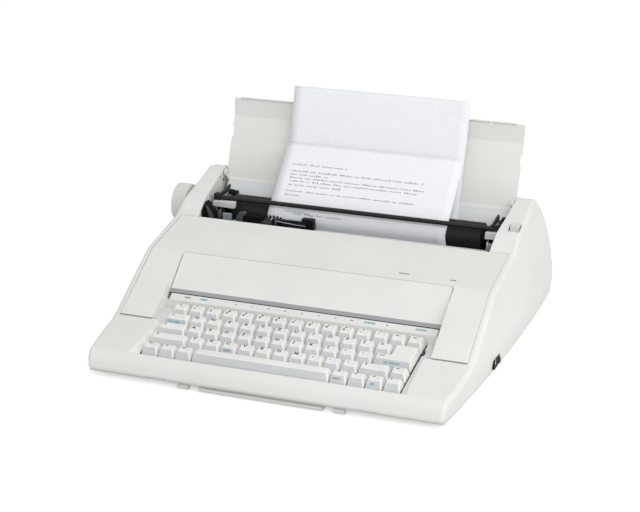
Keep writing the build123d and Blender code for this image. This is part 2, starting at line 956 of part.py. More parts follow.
def cover_height(y):
    """How high the top of the cover is."""
    line = cover_line()
    for (y_from, z_from), (y_to, z_to) in zip(line, line[1:]):
        if y <= y_to:
            break
    return z_from + (y - y_from) * (z_to - z_from) / (y_to - y_from)


def top_cover():
    """The cover between keyboard and platen: two side strips, the plain field and its skirts."""
    line = cover_line()
    cover = bar(band(Polyline(*line), cover_sheet, Side.RIGHT), -cover_half, cover_half)
    edges = [e for e in cover.edges() if abs(abs(e.center().X) - cover_half) < 0.1 and e.length > 50]
    top_edges = [e for e in edges if e.center().Z > cover_height(e.center().Y) - 1]
    cover = fillet(top_edges, radius=cover_edge_rounding)
    notch_back = panel_back_y + panel_gap
    notch = block(-cover_well_half, cover_well_half, 60, notch_back, 0, section_top)
    notch_corners = notch.edges().filter_by(Axis.Z).sort_by(Axis.Y)[2:]
    cover -= fillet(notch_corners, radius=panel_corner + panel_gap)
    skirt_front = hinge_y + 10
    skirt = [
        (skirt_front, cover_height(skirt_front) - cover_sheet),
        (brand_front_y, brand_front_height - cover_sheet),
        (cover_back_y, line[-1][1] - cover_sheet),
        (cover_back_y, line[-1][1] - cover_skirt),
        (brand_front_y, brand_front_height - cover_skirt - 1),
        (skirt_front, cover_height(skirt_front) - cover_skirt),
    ]
    outer_skirt = strip(skirt, cover_half - cover_sheet, cover_half)
    inner_wall_points = [
        (hinge_y - 2, cover_height(hinge_y - 2) - cover_sheet),
        (notch_back, cover_height(notch_back) - cover_sheet),
        (notch_back, cover_height(notch_back) - 18),
        (label_front_y, label_front_height - 7),
        (hinge_y - 2, hinge_height + 2.5),
    ]
    well_side = strip(inner_wall_points, cover_well_half, cover_well_half + cover_well_wall)
    for solid in both_sides(outer_skirt) + both_sides(well_side) + both_sides(hinge_ear()):
        cover += solid
    back_lip = block(
        -opening_half_front + 1, opening_half_front - 1, cover_back_y - 2, cover_back_y,
        line[-1][1] - 6, line[-1][1] - 1,
    )
    return cover + back_lip


def hinge_ear():
    """The ear and pin that the cover turns on, right-hand side."""
    ear_end = hinge_ear_x + hinge_ear_width
    web = [
        (hinge_y - hinge_ear_radius, hinge_height),
        (hinge_y + hinge_ear_radius, hinge_height),
        (hinge_y + hinge_ear_radius, cover_height(hinge_y + hinge_ear_radius) - 1),
        (hinge_y - hinge_ear_radius, cover_height(hinge_y - hinge_ear_radius) - 1),
    ]
    ear = strip(web, hinge_ear_x, ear_end) + rod(hinge_y, hinge_height, hinge_ear_radius, hinge_ear_x, ear_end)
    return ear + rod(hinge_y, hinge_height, hinge_pin_radius, ear_end, hinge_post_x + hinge_post_width - 0.5)


def cover_panel():
    """The plain panel above the keyboard, sunk at its lower edge, with a tongue under the cover."""
    line = Polyline(
        (panel_lip_y, panel_lip_height), (panel_front_y, panel_front_height), (panel_back_y, panel_back_height)
    )
    panel = bar(band(line, panel_sheet, Side.RIGHT), -panel_half, panel_half)
    panel -= block(-reach, reach, panel_back_y, reach, 0, section_top)
    upright = [e for e in panel.edges().filter_by(Axis.Z) if abs(e.center().Y - panel_back_y) < 0.1]
    panel = fillet(upright, radius=panel_corner)
    tongue_top = cover_height(panel_back_y + 8) - cover_sheet - 0.3
    tongue = [
        (panel_back_y - 2.5, panel_back_height - panel_sheet - 2.6),
        (panel_back_y + 1.0, tongue_top - 1.8),
        (panel_back_y + 8, tongue_top),
        (panel_back_y + 8, tongue_top - 1.8),
        (panel_back_y - 0.5, tongue_top - 4.0),
        (panel_back_y - 4.0, panel_back_height - panel_sheet - 5.6),
    ]
    return panel + strip(tongue, -panel_half + 12, panel_half - 12)


# Platen and paper feed
def platen_roller():
    """The rubber sleeve."""
    return tube(platen_y, platen_height, platen_radius, platen_core_radius + running_fit, -platen_half, platen_half)


def platen_core():
    """The metal tube in the sleeve, closed by a web at each end."""
    core = tube(platen_y, platen_height, platen_core_radius, platen_core_radius - 1.5, -platen_half, platen_half)
    web = tube(
        platen_y, platen_height, platen_core_radius - 1.0, shaft_radius + running_fit,
        platen_half - platen_web, platen_half,
    )
    return core + web + mirrored(web)


def platen_shaft():
    """The steel shaft through the platen, out to the knob."""
    return rod(platen_y, platen_height, shaft_radius, -knob_outer_x + 5, plate_outer_x + 2)


def platen_hubs():
    """The pale hubs at the platen's ends."""
    start = platen_half + 0.3
    end = plate_x - bush_flange - 0.4
    profile = polygon([
        (shaft_radius + running_fit, start), (hub_radius, start), (hub_radius, start + 2.5),
        (hub_small_radius, start + 4.0), (hub_small_radius, end), (shaft_radius + running_fit, end),
    ])
    axis_plane = Plane(origin=(0, platen_y, platen_height), x_dir=(0, 1, 0), z_dir=(0, 0, -1))
    hub = revolve(axis_plane * profile, axis=Axis((0, platen_y, platen_height), (1, 0, 0)))
    return both_sides(hub)


def platen_knob():
    """The round knob outside the left cheek, with grips around its rim."""
    knob = rod(platen_y, platen_height, knob_radius, -knob_outer_x, -knob_inner_x)
    rims = [e for e in knob.edges().filter_by(GeomType.CIRCLE)]
    knob = fillet(rims, radius=2.0)
    grip = Circle(1.3)
    for i in range(knob_grips):
        y, z = polar(platen_y, platen_height, knob_radius + 1.3 - knob_grip_depth, 360 * i / knob_grips)
        knob -= bar(Pos(y, z) * grip, -knob_outer_x + 3, -knob_inner_x - 3)
    knob += rod(platen_y, platen_height, knob_neck_radius, -knob_inner_x, -knob_neck_x)
    return knob - rod(platen_y, platen_height, shaft_radius + running_fit, -knob_outer_x + 4.9, -knob_neck_x)


def platen_bushes():
    """The flanged bushes that the shaft turns in."""
    bore = shaft_radius + running_fit
    flange = tube(platen_y, platen_height, bush_flange_radius, bore, plate_x - bush_flange, plate_x)
    sleeve = tube(platen_y, platen_height, bush_radius, bore, plate_x, plate_outer_x + 0.4)
    return both_sides(flange + sleeve)


def gear_outline(teeth, bore):
    """A spur gear with plain sloped teeth."""
    outer = gear_module * (teeth / 2 + tooth_above)
    root = gear_module * (teeth / 2 - tooth_below)
    points = []
    for i in range(teeth):
        start = 360 * i / teeth
        step = 360 / teeth
        corners = ((root, 0.0), (root, tooth_root_share), (outer, tooth_tip_from), (outer, tooth_tip_to))
        for radius, share in corners:
            points.append(polar(0, 0, radius, start + step * share))
    return polygon(points) - Circle(bore)


def gear(y, z, teeth, bore, turn):
    """A gear of the platen drive at its place outside the left plate."""
    outline = Pos(y, z) * Rot(0, 0, turn) * gear_outline(teeth, bore)
    return bar(outline, -gear_outer_x, -gear_inner_x)


def meshing_turn(teeth, angle, share):
    """The turn that brings a share of a tooth's step to face an angle."""
    return angle - share * 360 / teeth


def platen_gear():
    """The gear on the platen's shaft."""
    turn = meshing_turn(platen_teeth, idler_angle, tooth_middle)
    return gear(platen_y, platen_height, platen_teeth, shaft_radius + running_fit, turn)


def idler_turn():
    """How the idler stands so that its teeth fall between the platen gear's."""
    return meshing_turn(idler_teeth, idler_angle + 180, tooth_gap_middle)


def feed_gear():
    """The idler between the motor's pinion and the platen gear."""
    return gear(idler_y, idler_height, idler_teeth, motor_shaft_radius + running_fit, idler_turn())


def motor_pinion():
    """The pinion and shaft of the line feed motor."""
    step = 360 / idler_teeth
    share = ((-90.0 - idler_turn()) / step) % 1.0
    lead = (share - tooth_middle) * step * idler_teeth / pinion_teeth
    turn = meshing_turn(pinion_teeth, 90.0 + lead, tooth_gap_middle)
    toothed = gear(pinion_y, pinion_height, pinion_teeth, motor_shaft_radius - 0.5, turn)
    return toothed + rod(pinion_y, pinion_height, motor_shaft_radius, -gear_outer_x, -plate_x + 3)


def line_feed_motor():
    """The stepping motor on the inside of the left plate."""
    inner_x = -plate_x + feed_motor_length
    body = rod(pinion_y, pinion_height, feed_motor_radius, -plate_x, inner_x)
    body = fillet(body.edges().filter_by(GeomType.CIRCLE).sort_by(Axis.X)[-1], radius=1.5)
    return body - rod(pinion_y, pinion_height, motor_shaft_radius + running_fit, -plate_x, -plate_x + 3.2)


def feed_rollers(place):
    """Four rubber segments on one shaft."""
    y, z = place
    roller = rod(y, z, feed_shaft_radius, -plate_outer_x - 0.4, plate_outer_x + 0.4)
    for x in feed_centres:
        roller += rod(y, z, feed_radius, x - feed_segment / 2, x + feed_segment / 2)
    return roller


def plate_outline():
    """A side plate seen from the side."""
    outline = polygon([
        (plate_front_y, floor_top), (plate_back_y, floor_top), (plate_back_y, plate_back_height), *plate_brow,
        (plate_neck_y, plate_front_height), (plate_front_y, plate_front_height),
    ])
    return fillet(outline.vertices().sort_by(Axis.Y)[2:], radius=plate_rounding)


def side_plate(side):
    """A steel plate that carries platen, rollers, rail, guide shaft and bail."""
    plate = bar(plate_outline(), plate_x, plate_outer_x)
    holes = [
        (platen_y, platen_height, bush_radius + running_fit),
        (guide_y, guide_height, guide_radius + running_fit),
        (front_feed[0], front_feed[1], feed_shaft_radius + running_fit),
        (back_feed[0], back_feed[1], feed_shaft_radius + running_fit),
    ]
    if side < 0:
        holes.append((pinion_y, pinion_height, motor_shaft_radius + 1.0))
    for y, z, radius in holes:
        plate -= rod(y, z, radius, plate_x - 1, plate_outer_x + 1)
    bail_stud_end = bail_arm_x + bail_arm_thickness + 0.8
    plate += rod(bail_pivot_y, bail_pivot_height, bail_pivot_radius, plate_outer_x, bail_stud_end)
    if side > 0:
        return plate
    plate = mirrored(plate)
    return plate + rod(idler_y, idler_height, motor_shaft_radius, -gear_outer_x, -plate_outer_x)


def annular(radius_from, radius_to, angle_from, angle_to):
    """A piece of a ring around the platen."""
    span = angle_to - angle_from
    centre = (platen_y, platen_height)
    outer = CenterArc(centre, radius_to, angle_from, span)
    inner = CenterArc(centre, radius_from, angle_from, span)
    ends = [Line(outer @ 0, inner @ 0), Line(outer @ 1, inner @ 1)]
    return make_face([outer, inner, *ends])


def paper_leaves_at():
    """The angle at which the paper leaves the platen upwards at the back."""
    return -paper_leave_angle


def paper_chute():
    """The sheet behind the platen that leads the paper down and round."""
    inner = paper_radius + guide_gap
    curved = bar(annular(inner, inner + guide_sheet, chute_low_angle, paper_leaves_at()), -plate_x, plate_x)
    low = polar(platen_y, platen_height, inner, paper_leaves_at())
    middle = paper_back_point(chute_top_share / 2, guide_gap)
    high = paper_back_point(chute_top_share, guide_gap)
    rise = band(ThreePointArc(low, middle, high), guide_sheet, Side.RIGHT)
    lower = bar(rise, -plate_x, plate_x)
    upper = bar(rise, -chute_half, chute_half) & level(chute_wide_height, section_top)
    return curved + lower + upper


def front_paper_guide():
    """The strip below the print line that leads the paper up in front of the platen."""
    inner = paper_radius + guide_gap
    return bar(annular(inner, inner + guide_sheet, *front_guide_angles), -plate_x, plate_x)


# Paper
def paper_front_angle():
    """The angle at which the paper leaves the platen in front."""
    across = paper_front_y - platen_y
    up = paper_front_height - platen_height
    distance = math.hypot(across, up)
    return math.degrees(math.atan2(up, across) + math.acos(paper_radius / distance))


def paper_back_length():
    """What is left of the sheet behind the platen."""
    across = paper_front_y - platen_y
    up = paper_front_height - platen_height
    front = math.sqrt(across ** 2 + up ** 2 - paper_radius ** 2)
    wrap = math.radians(360 + paper_leaves_at() - paper_front_angle()) * paper_radius
    return paper_length - front - wrap


def paper_back_point(share, outward):
    """A point along the bowed sheet behind the platen, or at a distance behind it."""
    bow_radius = paper_back_length() / math.radians(paper_back_turn)
    start = polar(platen_y, platen_height, paper_radius, paper_leaves_at())
    centre = polar(start[0], start[1], -bow_radius, paper_leaves_at())
    return polar(centre[0], centre[1], bow_radius + outward, paper_leaves_at() + share * paper_back_turn)


def paper_face():
    """The sheet seen from the side: up in front, under the platen and up behind."""
    half = paper_thickness / 2
    front_angle = paper_front_angle()
    direction = math.radians(front_angle - 90)
    sides = []
    for shift in (-half, half):
        top = polar(paper_front_y, paper_front_height, shift, front_angle)
        leave = polar(platen_y, platen_height, paper_radius + shift, front_angle)
        wrap = CenterArc(
            (platen_y, platen_height), paper_radius + shift, front_angle, 360 + paper_leaves_at() - front_angle
        )
        rise = ThreePointArc(
            paper_back_point(0, shift), paper_back_point(0.5, shift), paper_back_point(1, shift)
        )
        sides.append([Line(top, leave), wrap, rise])
    inner, outer = sides
    ends = [Line(inner[0] @ 0, outer[0] @ 0), Line(inner[2] @ 1, outer[2] @ 1)]
    return make_face([*inner, *outer, *ends])


def paper_sheet():
    """One sheet in the machine."""
    return bar(paper_face(), paper_centre_x - paper_width / 2, paper_centre_x + paper_width / 2)


# Paper bail
def bail_bar():
    """The bar that holds the paper to the platen."""
    bar_solid = rod(bail_bar_y, bail_bar_height, bail_bar_radius, -bail_bar_half, bail_bar_half)
    return fillet(bar_solid.edges().filter_by(GeomType.CIRCLE), radius=0.8)


def bail_arm():
    """The right-hand arm of the bail, with the horn that is pulled to lift it."""
    pivot_disc = Pos(bail_pivot_y, bail_pivot_height) * Circle(bail_pivot_radius + 2.6)
    bar_disc = Pos(bail_bar_y, bail_bar_height) * Circle(bail_bar_radius + 2.0)
    leg = polygon([
        (bail_pivot_y - 4.6, bail_pivot_height), (bail_pivot_y + 4.6, bail_pivot_height),
        (bail_bar_y + 3.6, bail_bar_height), (bail_bar_y - 3.6, bail_bar_height),
    ])
    horn = polygon([
        (bail_bar_y, bail_bar_height - 3.4), (bail_horn_y, bail_horn_height - 2.0),
        (bail_horn_y, bail_horn_height + 2.0), (bail_bar_y, bail_bar_height + 3.4),
    ])
    outline = pivot_disc + bar_disc + leg + horn
    outline -= Pos(bail_pivot_y, bail_pivot_height) * Circle(bail_pivot_radius + running_fit)
    return bar(outline, bail_arm_x, bail_arm_x + bail_arm_thickness)


def paper_bail():
    """The bar with its two arms."""
    bail = bail_bar()
    for arm in both_sides(bail_arm()):
        bail += arm
    return bail


# Paper support
def lid_line():
    """The underside of the closed lid, from its front edge to its back edge."""
    return [
        (lid_front_y, lid_front_height),
        (ramp_top_y, ramp_top_height + lid_lift),
        (cheek_middle_y, cheek_middle_height + lid_lift),
        (cheek_back_y, cheek_back_height + lid_lift),
        (lid_back_y, cheek_back_height + lid_lift),
    ]


def closed_lid():
    """The lid as it lies over the platen."""
    lid = bar(band(Polyline(*lid_line()), lid_sheet, Side.LEFT), -lid_half, lid_half)
    lid += block(
        -lid_lip_half, lid_lip_half, lid_front_y - 0.8, lid_front_y + 0.8,
        lid_front_height - lid_lip, lid_front_height + 1.0,
    )
    for side in (-1, 1):
        notch_x = side * lid_notch_x
        lid -= block(
            notch_x - lid_notch_width / 2, notch_x + lid_notch_width / 2,
            lid_front_y - 5, lid_front_y + lid_notch_depth, 90, section_top,
        )
        cut_x = side * lid_half
        lid -= block(
            cut_x - lid_side_notch_depth, cut_x + lid_side_notch_depth,
            bail_bar_y - lid_side_notch_half, bail_bar_y + lid_side_notch_half, 90, section_top,
        )
    ear_end = lid_ear_x + lid_ear_width
    web = [
        (lid_hinge_y - lid_ear_radius, lid_hinge_height), (lid_hinge_y + lid_ear_radius, lid_hinge_height),
        (lid_hinge_y + lid_ear_radius, cheek_back_height + lid_lift + 1),
        (lid_hinge_y - lid_ear_radius, cheek_back_height + lid_lift),
    ]
    ear = strip(web, lid_ear_x, ear_end)
    ear += rod(lid_hinge_y, lid_hinge_height, lid_ear_radius, lid_ear_x, ear_end)
    for solid in both_sides(ear):
        lid += solid
    return lid - rod(lid_hinge_y, lid_hinge_height, lid_pin_radius + running_fit, -reach, reach)


def paper_support():
    """The lid swung open, where it holds the paper up."""
    return closed_lid().rotate(Axis((0, lid_hinge_y, lid_hinge_height), (1, 0, 0)), -lid_open_angle)


def lid_pins():
    """The pins that the lid turns on."""
    return both_sides(rod(lid_hinge_y, lid_hinge_height, lid_pin_radius, lid_ear_x, shell_x - 1.0))


# Carriage
def carriage_guide_shaft():
    """The polished shaft that the carriage slides on."""
    return rod(guide_y, guide_height, guide_radius, -plate_outer_x - 2, plate_outer_x + 2)


def guide_rail():
    """The flat rail that keeps the carriage level."""
    return block(-plate_x, plate_x, rail_front_y, rail_back_y, rail_bottom, rail_top)


def around_carriage(half, y_from, y_to, z_from, z_to):
    """A box that is centred on the carriage."""
    return block(carriage_x - half, carriage_x + half, y_from, y_to, z_from, z_to)


def carriage_frame():
    """The carriage: a boss on the shaft, a shoe on the rail, a deck, a back plate and a shelf."""
    low_x = carriage_x - carriage_half
    high_x = carriage_x + carriage_half
    frame = rod(guide_y, guide_height, carriage_boss_radius, low_x, high_x)
    frame += around_carriage(carriage_half, guide_y - 5, guide_y + 5, guide_height + 5, deck_height)
    frame += around_carriage(carriage_half, deck_front_y, deck_back_y, deck_height, deck_top)
    front_jaw = rail_front_y - rail_play - jaw_thickness
    back_jaw = rail_back_y + rail_play
    for y in (front_jaw, back_jaw):
        frame += around_carriage(carriage_half, y, y + jaw_thickness, deck_height - jaw_drop, deck_height)
    frame += around_carriage(back_plate_half, back_plate_y, deck_back_y, deck_top, back_plate_top)
    frame += around_carriage(carriage_half, back_plate_y, deck_back_y, deck_height, deck_top)
    frame += block(
        carriage_x + card_foot_left, carriage_x + card_foot_right,
        deck_back_y - 1, card_front_y, card_foot_bottom, card_foot_top,
    )
    frame += around_carriage(shelf_half, deck_front_y, back_plate_y, shelf_height, shelf_top)
    for side in (-1, 1):
        x_low, x_high = sorted((side * (shelf_half - 2), side * shelf_half))
        frame += block(
            carriage_x + x_low, carriage_x + x_high, cassette_back_y + 2, back_plate_y, deck_top, shelf_height
        )
        frame += block(
            carriage_x + x_low, carriage_x + x_high, deck_front_y, deck_front_y + 8, deck_top, shelf_height
        )
    frame += around_carriage(
        clamp_half, belt_y + pulley_radius + belt_thickness + rail_play,
        belt_y + pulley_radius + belt_thickness + rail_play + clamp_thickness, belt_bottom, deck_height,
    )
    for side in (-1, 1):
        x = carriage_x + side * spool_x
        frame += post(x, spool_y, spool_pin_radius, deck_top - 1, deck_top + spool_height + 1)
    frame += around_carriage(4, coil_front_y + 2, coil_back_y - 2, shelf_top, hammer_height - 3)
    frame -= rod(guide_y, guide_height, guide_radius + running_fit, low_x - 1, high_x + 1)
    frame -= spindle(carriage_x, wheel_height, wheel_boss_radius + 1.0, back_plate_y - 1, deck_back_y + 1)
    frame -= spindle(carriage_x, hammer_height, hammer_radius + 0.4, coil_back_y, deck_back_y + 1)
    return frame - spindle(carriage_x, hammer_height, coil_radius, coil_front_y, coil_back_y)


def wheel_motor():
    """The small motor that turns the print wheel."""
    front = back_plate_y - wheel_motor_length
    body = spindle(carriage_x, wheel_height, wheel_motor_radius, front, back_plate_y)
    body = fillet(body.edges().filter_by(GeomType.CIRCLE).sort_by(Axis.Y)[0], radius=1.2)
    return body - spindle(carriage_x, wheel_height, wheel_shaft_radius + running_fit, back_plate_y - 4, back_plate_y)


def print_wheel():
    """The wheel of type: thin petals with a slug at each tip, round a hub on its shaft."""
    wheel = Circle(wheel_hub_radius)
    petal = Pos(0, (wheel_hub_radius + wheel_radius) / 2 - 1)
    petal *= Rectangle(petal_width, wheel_radius - wheel_hub_radius + 2 - slug_length / 2)
    slug = Pos(0, wheel_radius - slug_length / 2) * Rectangle(slug_width, slug_length)
    turns = [Rot(0, 0, 360 * i / wheel_petals) for i in range(wheel_petals)]
    wheel = wheel + [turn * petal for turn in turns] + [turn * slug for turn in turns]
    start = Plane(origin=(carriage_x, wheel_front_y, wheel_height), x_dir=(1, 0, 0), z_dir=(0, 1, 0))
    disc = extrude(start * wheel, amount=wheel_thickness)
    disc += spindle(carriage_x, wheel_height, wheel_boss_radius, deck_back_y + 0.5, wheel_front_y)
    return disc + spindle(carriage_x, wheel_height, wheel_shaft_radius, back_plate_y - 3.5, deck_back_y + 0.5)


def hammer_coil():
    """The coil that drives the hammer."""
    coil = spindle(carriage_x, hammer_height, coil_radius, coil_front_y, coil_back_y)
    return coil - spindle(carriage_x, hammer_height, hammer_radius + running_fit, coil_front_y + 4, coil_back_y)


def print_hammer():
    """The pin that strikes a petal against the paper."""
    pin = spindle(carriage_x, hammer_height, hammer_radius, hammer_front_y, hammer_tip_y)
    return fillet(pin.edges().filter_by(GeomType.CIRCLE).sort_by(Axis.Y)[-1], radius=0.8)


def ribbon_cassette():
    """The ribbon cassette with its two arms beside the hammer."""
    body = around_carriage(cassette_half, cassette_front_y, cassette_back_y, shelf_top, shelf_top + cassette_height)
    corners = [e for e in body.edges().filter_by(Axis.Z) if e.center().Y < cassette_front_y + 1]
    body = fillet(corners, radius=cassette_rounding)
    for side in (-1, 1):
        x_low, x_high = sorted((side * cassette_arm_inner, side * cassette_arm_outer))
        body += block(
            carriage_x + x_low, carriage_x + x_high, cassette_back_y - 1, back_plate_y - 0.5,
            shelf_top, shelf_top + cassette_arm_height,
        )
    winder = post(carriage_x, cassette_front_y + 17, 6.0, shelf_top + cassette_height, shelf_top + cassette_height + 0.8)
    return body + winder


def correction_spool(side):
    """One of the two spools of correction tape."""
    x = carriage_x + side * spool_x
    drum = post(x, spool_y, spool_radius - 2.0, deck_top + spool_gap, deck_top + spool_height)
    for z in (deck_top + spool_gap, deck_top + spool_height - 1):
        drum += post(x, spool_y, spool_radius, z, z + 1)
    return drum - post(x, spool_y, spool_pin_radius + running_fit, deck_top, deck_top + spool_height + 1)


def card_holder():
    """The clear card holder that keeps the paper flat beside the print point."""
    width = card_right - card_left
    middle = carriage_x + (card_left + card_right) / 2
    outline = Pos(middle, (card_bottom + card_top) / 2) * Rectangle(width, card_top - card_bottom)
    upper = [v for v in outline.vertices() if v.Y > card_bottom + 1]
    outline = fillet(upper, radius=card_rounding)
    outline -= Pos(carriage_x, card_top) * Rectangle(9, 34)
    start = Plane(origin=(0, card_front_y + card_thickness, 0), x_dir=(1, 0, 0), z_dir=(0, -1, 0))
    return extrude(start * outline, amount=card_thickness)


def pulley(x):
    """A toothed belt pulley, shown with plain flanges."""
    wheel = post(x, belt_y, pulley_radius, belt_bottom - 0.3, belt_bottom + belt_width + 0.3)
    low = belt_bottom - 0.3 - pulley_flange_height
    high = belt_bottom + belt_width + 0.3
    for z in (low, high):
        wheel += post(x, belt_y, pulley_radius + pulley_flange, z, z + pulley_flange_height)
    bore = motor_shaft_radius + running_fit
    return wheel - post(x, belt_y, bore, low - 1, high + pulley_flange_height + 1)


def drive_belt():
    """The closed belt between the pulleys."""
    inner_radius = pulley_radius + 0.1
    loop = SlotCenterToCenter(2 * pulley_x, 2 * (inner_radius + belt_thickness))
    hole = SlotCenterToCenter(2 * pulley_x, 2 * inner_radius)
    return Pos(0, belt_y, belt_bottom) * extrude(loop - hole, amount=belt_width)


def carriage_motor():
    """The stepping motor that draws the belt, with its shaft."""
    body = post(pulley_x, belt_y, carriage_motor_radius, floor_top, carriage_motor_top)
    body = fillet(body.edges().filter_by(GeomType.CIRCLE).sort_by(Axis.Z)[-1], radius=1.5)
    return body + post(pulley_x, belt_y, motor_shaft_radius, carriage_motor_top, belt_bottom + belt_width + 3)


# Electrics
def main_board():
    """The main circuit board with its larger parts."""
    top = main_board_height + board_thickness
    board = block(
        -main_board_half, main_board_half, main_board_front_y, main_board_back_y, main_board_height, top
    )
    for x, y, width, depth, height in (
        (-84, 150, 52, 15, 4), (-20, 150, 52, 15, 4), (46, 148, 36, 13, 4), (-70, 178, 24, 9, 3.5),
        (-30, 178, 24, 9, 3.5), (14, 178, 24, 9, 3.5), (92, 172, 22, 30, 14),
    ):
        board += block(x - width / 2, x + width / 2, y - depth / 2, y + depth / 2, top, top + height)
    return board


def transformer():
    """The mains transformer: a stack of plates round a winding."""
    low = floor_top
    core = block(
        transformer_x - transformer_half, transformer_x + transformer_half,
        transformer_front_y + 8, transformer_back_y - 8, low, low + transformer_height,
    )
    winding = block(
        transformer_x - transformer_half + 9, transformer_x + transformer_half - 9,
        transformer_front_y, transformer_back_y, low + 8, low + transformer_height - 8,
    )
    uprights = winding.edges().filter_by(Axis.Z)
    return core + fillet(uprights, radius=5)


def switch_body():
    """The housing of the power switch, with a pocket for its rocker."""
    half = switch_length / 2
    depth = switch_depth / 2
    body = block(
        switch_inner_x, switch_outer_x, switch_y - half, switch_y + half,
        switch_height - depth, switch_height + depth,
    )
    pocket_half = rocker_half + 2 * rocker_gap
    pocket_depth = rocker_depth_half + rocker_gap
    body -= block(
        switch_pocket_x, reach, switch_y - pocket_half, switch_y + pocket_half,
        switch_height - pocket_depth, switch_height + pocket_depth,
    )
    return body - post(
        rocker_axis_x, switch_y, rocker_pin_radius + running_fit,
        switch_height - depth + switch_wall, switch_height + depth - switch_wall,
    )


def power_rocker():
    """The rocker, tipped to its off side."""
    outline = polygon([
        (-rocker_back, -rocker_half), (rocker_rise, -rocker_half), (rocker_rise - rocker_hollow, 0),
        (rocker_rise, rocker_half), (-rocker_back, rocker_half),
    ])
    rocker = extrude(Rot(0, 0, -rocker_tilt) * outline, amount=2 * rocker_depth_half)
    rocker = Pos(rocker_axis_x, switch_y, switch_height - rocker_depth_half) * rocker
    pin_half = switch_depth / 2 - switch_wall - end_play
    return rocker + post(
        rocker_axis_x, switch_y, rocker_pin_radius, switch_height - pin_half, switch_height + pin_half
    )


def cord_gland():
    """The rubber gland in the back wall that the mains lead passes through."""
    inner = case_back_y - gland_seat
    gland = spindle(gland_x, gland_height, gland_radius, inner - gland_flange, case_back_y + gland_flange)
    gland += spindle(gland_x, gland_height, gland_flange_radius, case_back_y, case_back_y + gland_flange)
    gland += spindle(gland_x, gland_height, gland_flange_radius, inner - gland_flange, inner)
    return gland - spindle(gland_x, gland_height, gland_bore, case_back_y - 20, case_back_y + 5)


def release_lever():
    """The paper release lever in the slot of the right cheek."""
    half = release_thickness / 2
    arm = polygon([
        (release_pivot_y - half, release_pivot_height), (release_pivot_y + half, release_pivot_height),
        (release_top_y + half, release_top_height), (release_top_y - half, release_top_height),
    ])
    tip = [v for v in arm.vertices() if v.Y > release_top_height - 1]
    arm = fillet(tip, radius=2.0)
    arm += Pos(release_pivot_y, release_pivot_height) * Circle(half + 0.8)
    lever = bar(arm, release_x - release_half, release_x + release_half)
    pin_half = release_half + release_pin_reach
    return lever + rod(
        release_pivot_y, release_pivot_height, release_pin_radius, release_x - pin_half, release_x + pin_half
    )


def parts():
    """Every sub-part under its name, as one solid or as a list of like solids."""
    nodes = {
        "base_shell": base_shell(),
        "upper_case": upper_case(),
        "rubber_feet": rubber_feet(),
        "case_screws": case_screws(),
        "carrying_handle": carrying_handle(),
        "keyboard_frame": keyboard_frame(),
        "keyboard_board": keyboard_board(),
        "return_key": return_key(),
        "top_cover": top_cover(),
        "cover_panel": cover_panel(),
        "side_plates": [side_plate(-1), side_plate(1)],
        "platen_roller": platen_roller(),
        "platen_core": platen_core(),
        "platen_shaft": platen_shaft(),
        "platen_hubs": platen_hubs(),
        "platen_knob": platen_knob(),
        "platen_bushes": platen_bushes(),
        "platen_gear": platen_gear(),
        "feed_gear": feed_gear(),
        "motor_pinion": motor_pinion(),
        "line_feed_motor": line_feed_motor(),
        "front_feed_rollers": feed_rollers(front_feed),
        "back_feed_rollers": feed_rollers(back_feed),
        "paper_guides": [paper_chute(), front_paper_guide()],
        "paper_sheet": paper_sheet(),
        "paper_bail": paper_bail(),
        "paper_support": paper_support(),
        "lid_pins": lid_pins(),
        "guide_shaft": carriage_guide_shaft(),
        "guide_rail": guide_rail(),
        "carriage_frame": carriage_frame(),
        "wheel_motor": wheel_motor(),
        "print_wheel": print_wheel(),
        "hammer_coil": hammer_coil(),
        "print_hammer": print_hammer(),
        "ribbon_cassette": ribbon_cassette(),
        "supply_spool": correction_spool(-1),
        "take_up_spool": correction_spool(1),
        "card_holder": card_holder(),
        "drive_pulley": pulley(pulley_x),
        "idler_pulley": pulley(-pulley_x),
        "drive_belt": drive_belt(),
        "carriage_motor": carriage_motor(),
        "main_board": main_board(),
        "transformer": transformer(),
        "switch_body": switch_body(),
        "power_rocker": power_rocker(),
        "cord_gland": cord_gland(),
        "release_lever": release_lever(),
    }
    for name, group in key_groups.items():
        nodes[name] = [key(unit, width, row) for unit, width, row in group]
    return nodes


# The origin is the middle of the whole footprint, on the ground
def origin_shift(nodes):
    """The middle of everything's footprint."""
    boxes = [shape.bounding_box() for shape in nodes.values()]
    x_middle = (min(b.min.X for b in boxes) + max(b.max.X for b in boxes)) / 2
    y_middle = (min(b.min.Y for b in boxes) + max(b.max.Y for b in boxes)) / 2
    return Pos(-x_middle, -y_middle, 0)


def main():
    os.makedirs("parts", exist_ok=True)
    nodes = {}
    for name, shape in parts().items():
        solids = shape if isinstance(shape, list) else [shape]
        nodes[name] = Compound(children=[s for solid in solids for s in solid.solids()])
    shift = origin_shift(nodes)
    print("origin shift", shift.position)
    for name, shape in nodes.items():
        export_step(shift * shape, f"parts/{name}.step")


main()
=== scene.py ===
import json
import math
import random

import bmesh
import bpy
from mathutils import Matrix, Vector


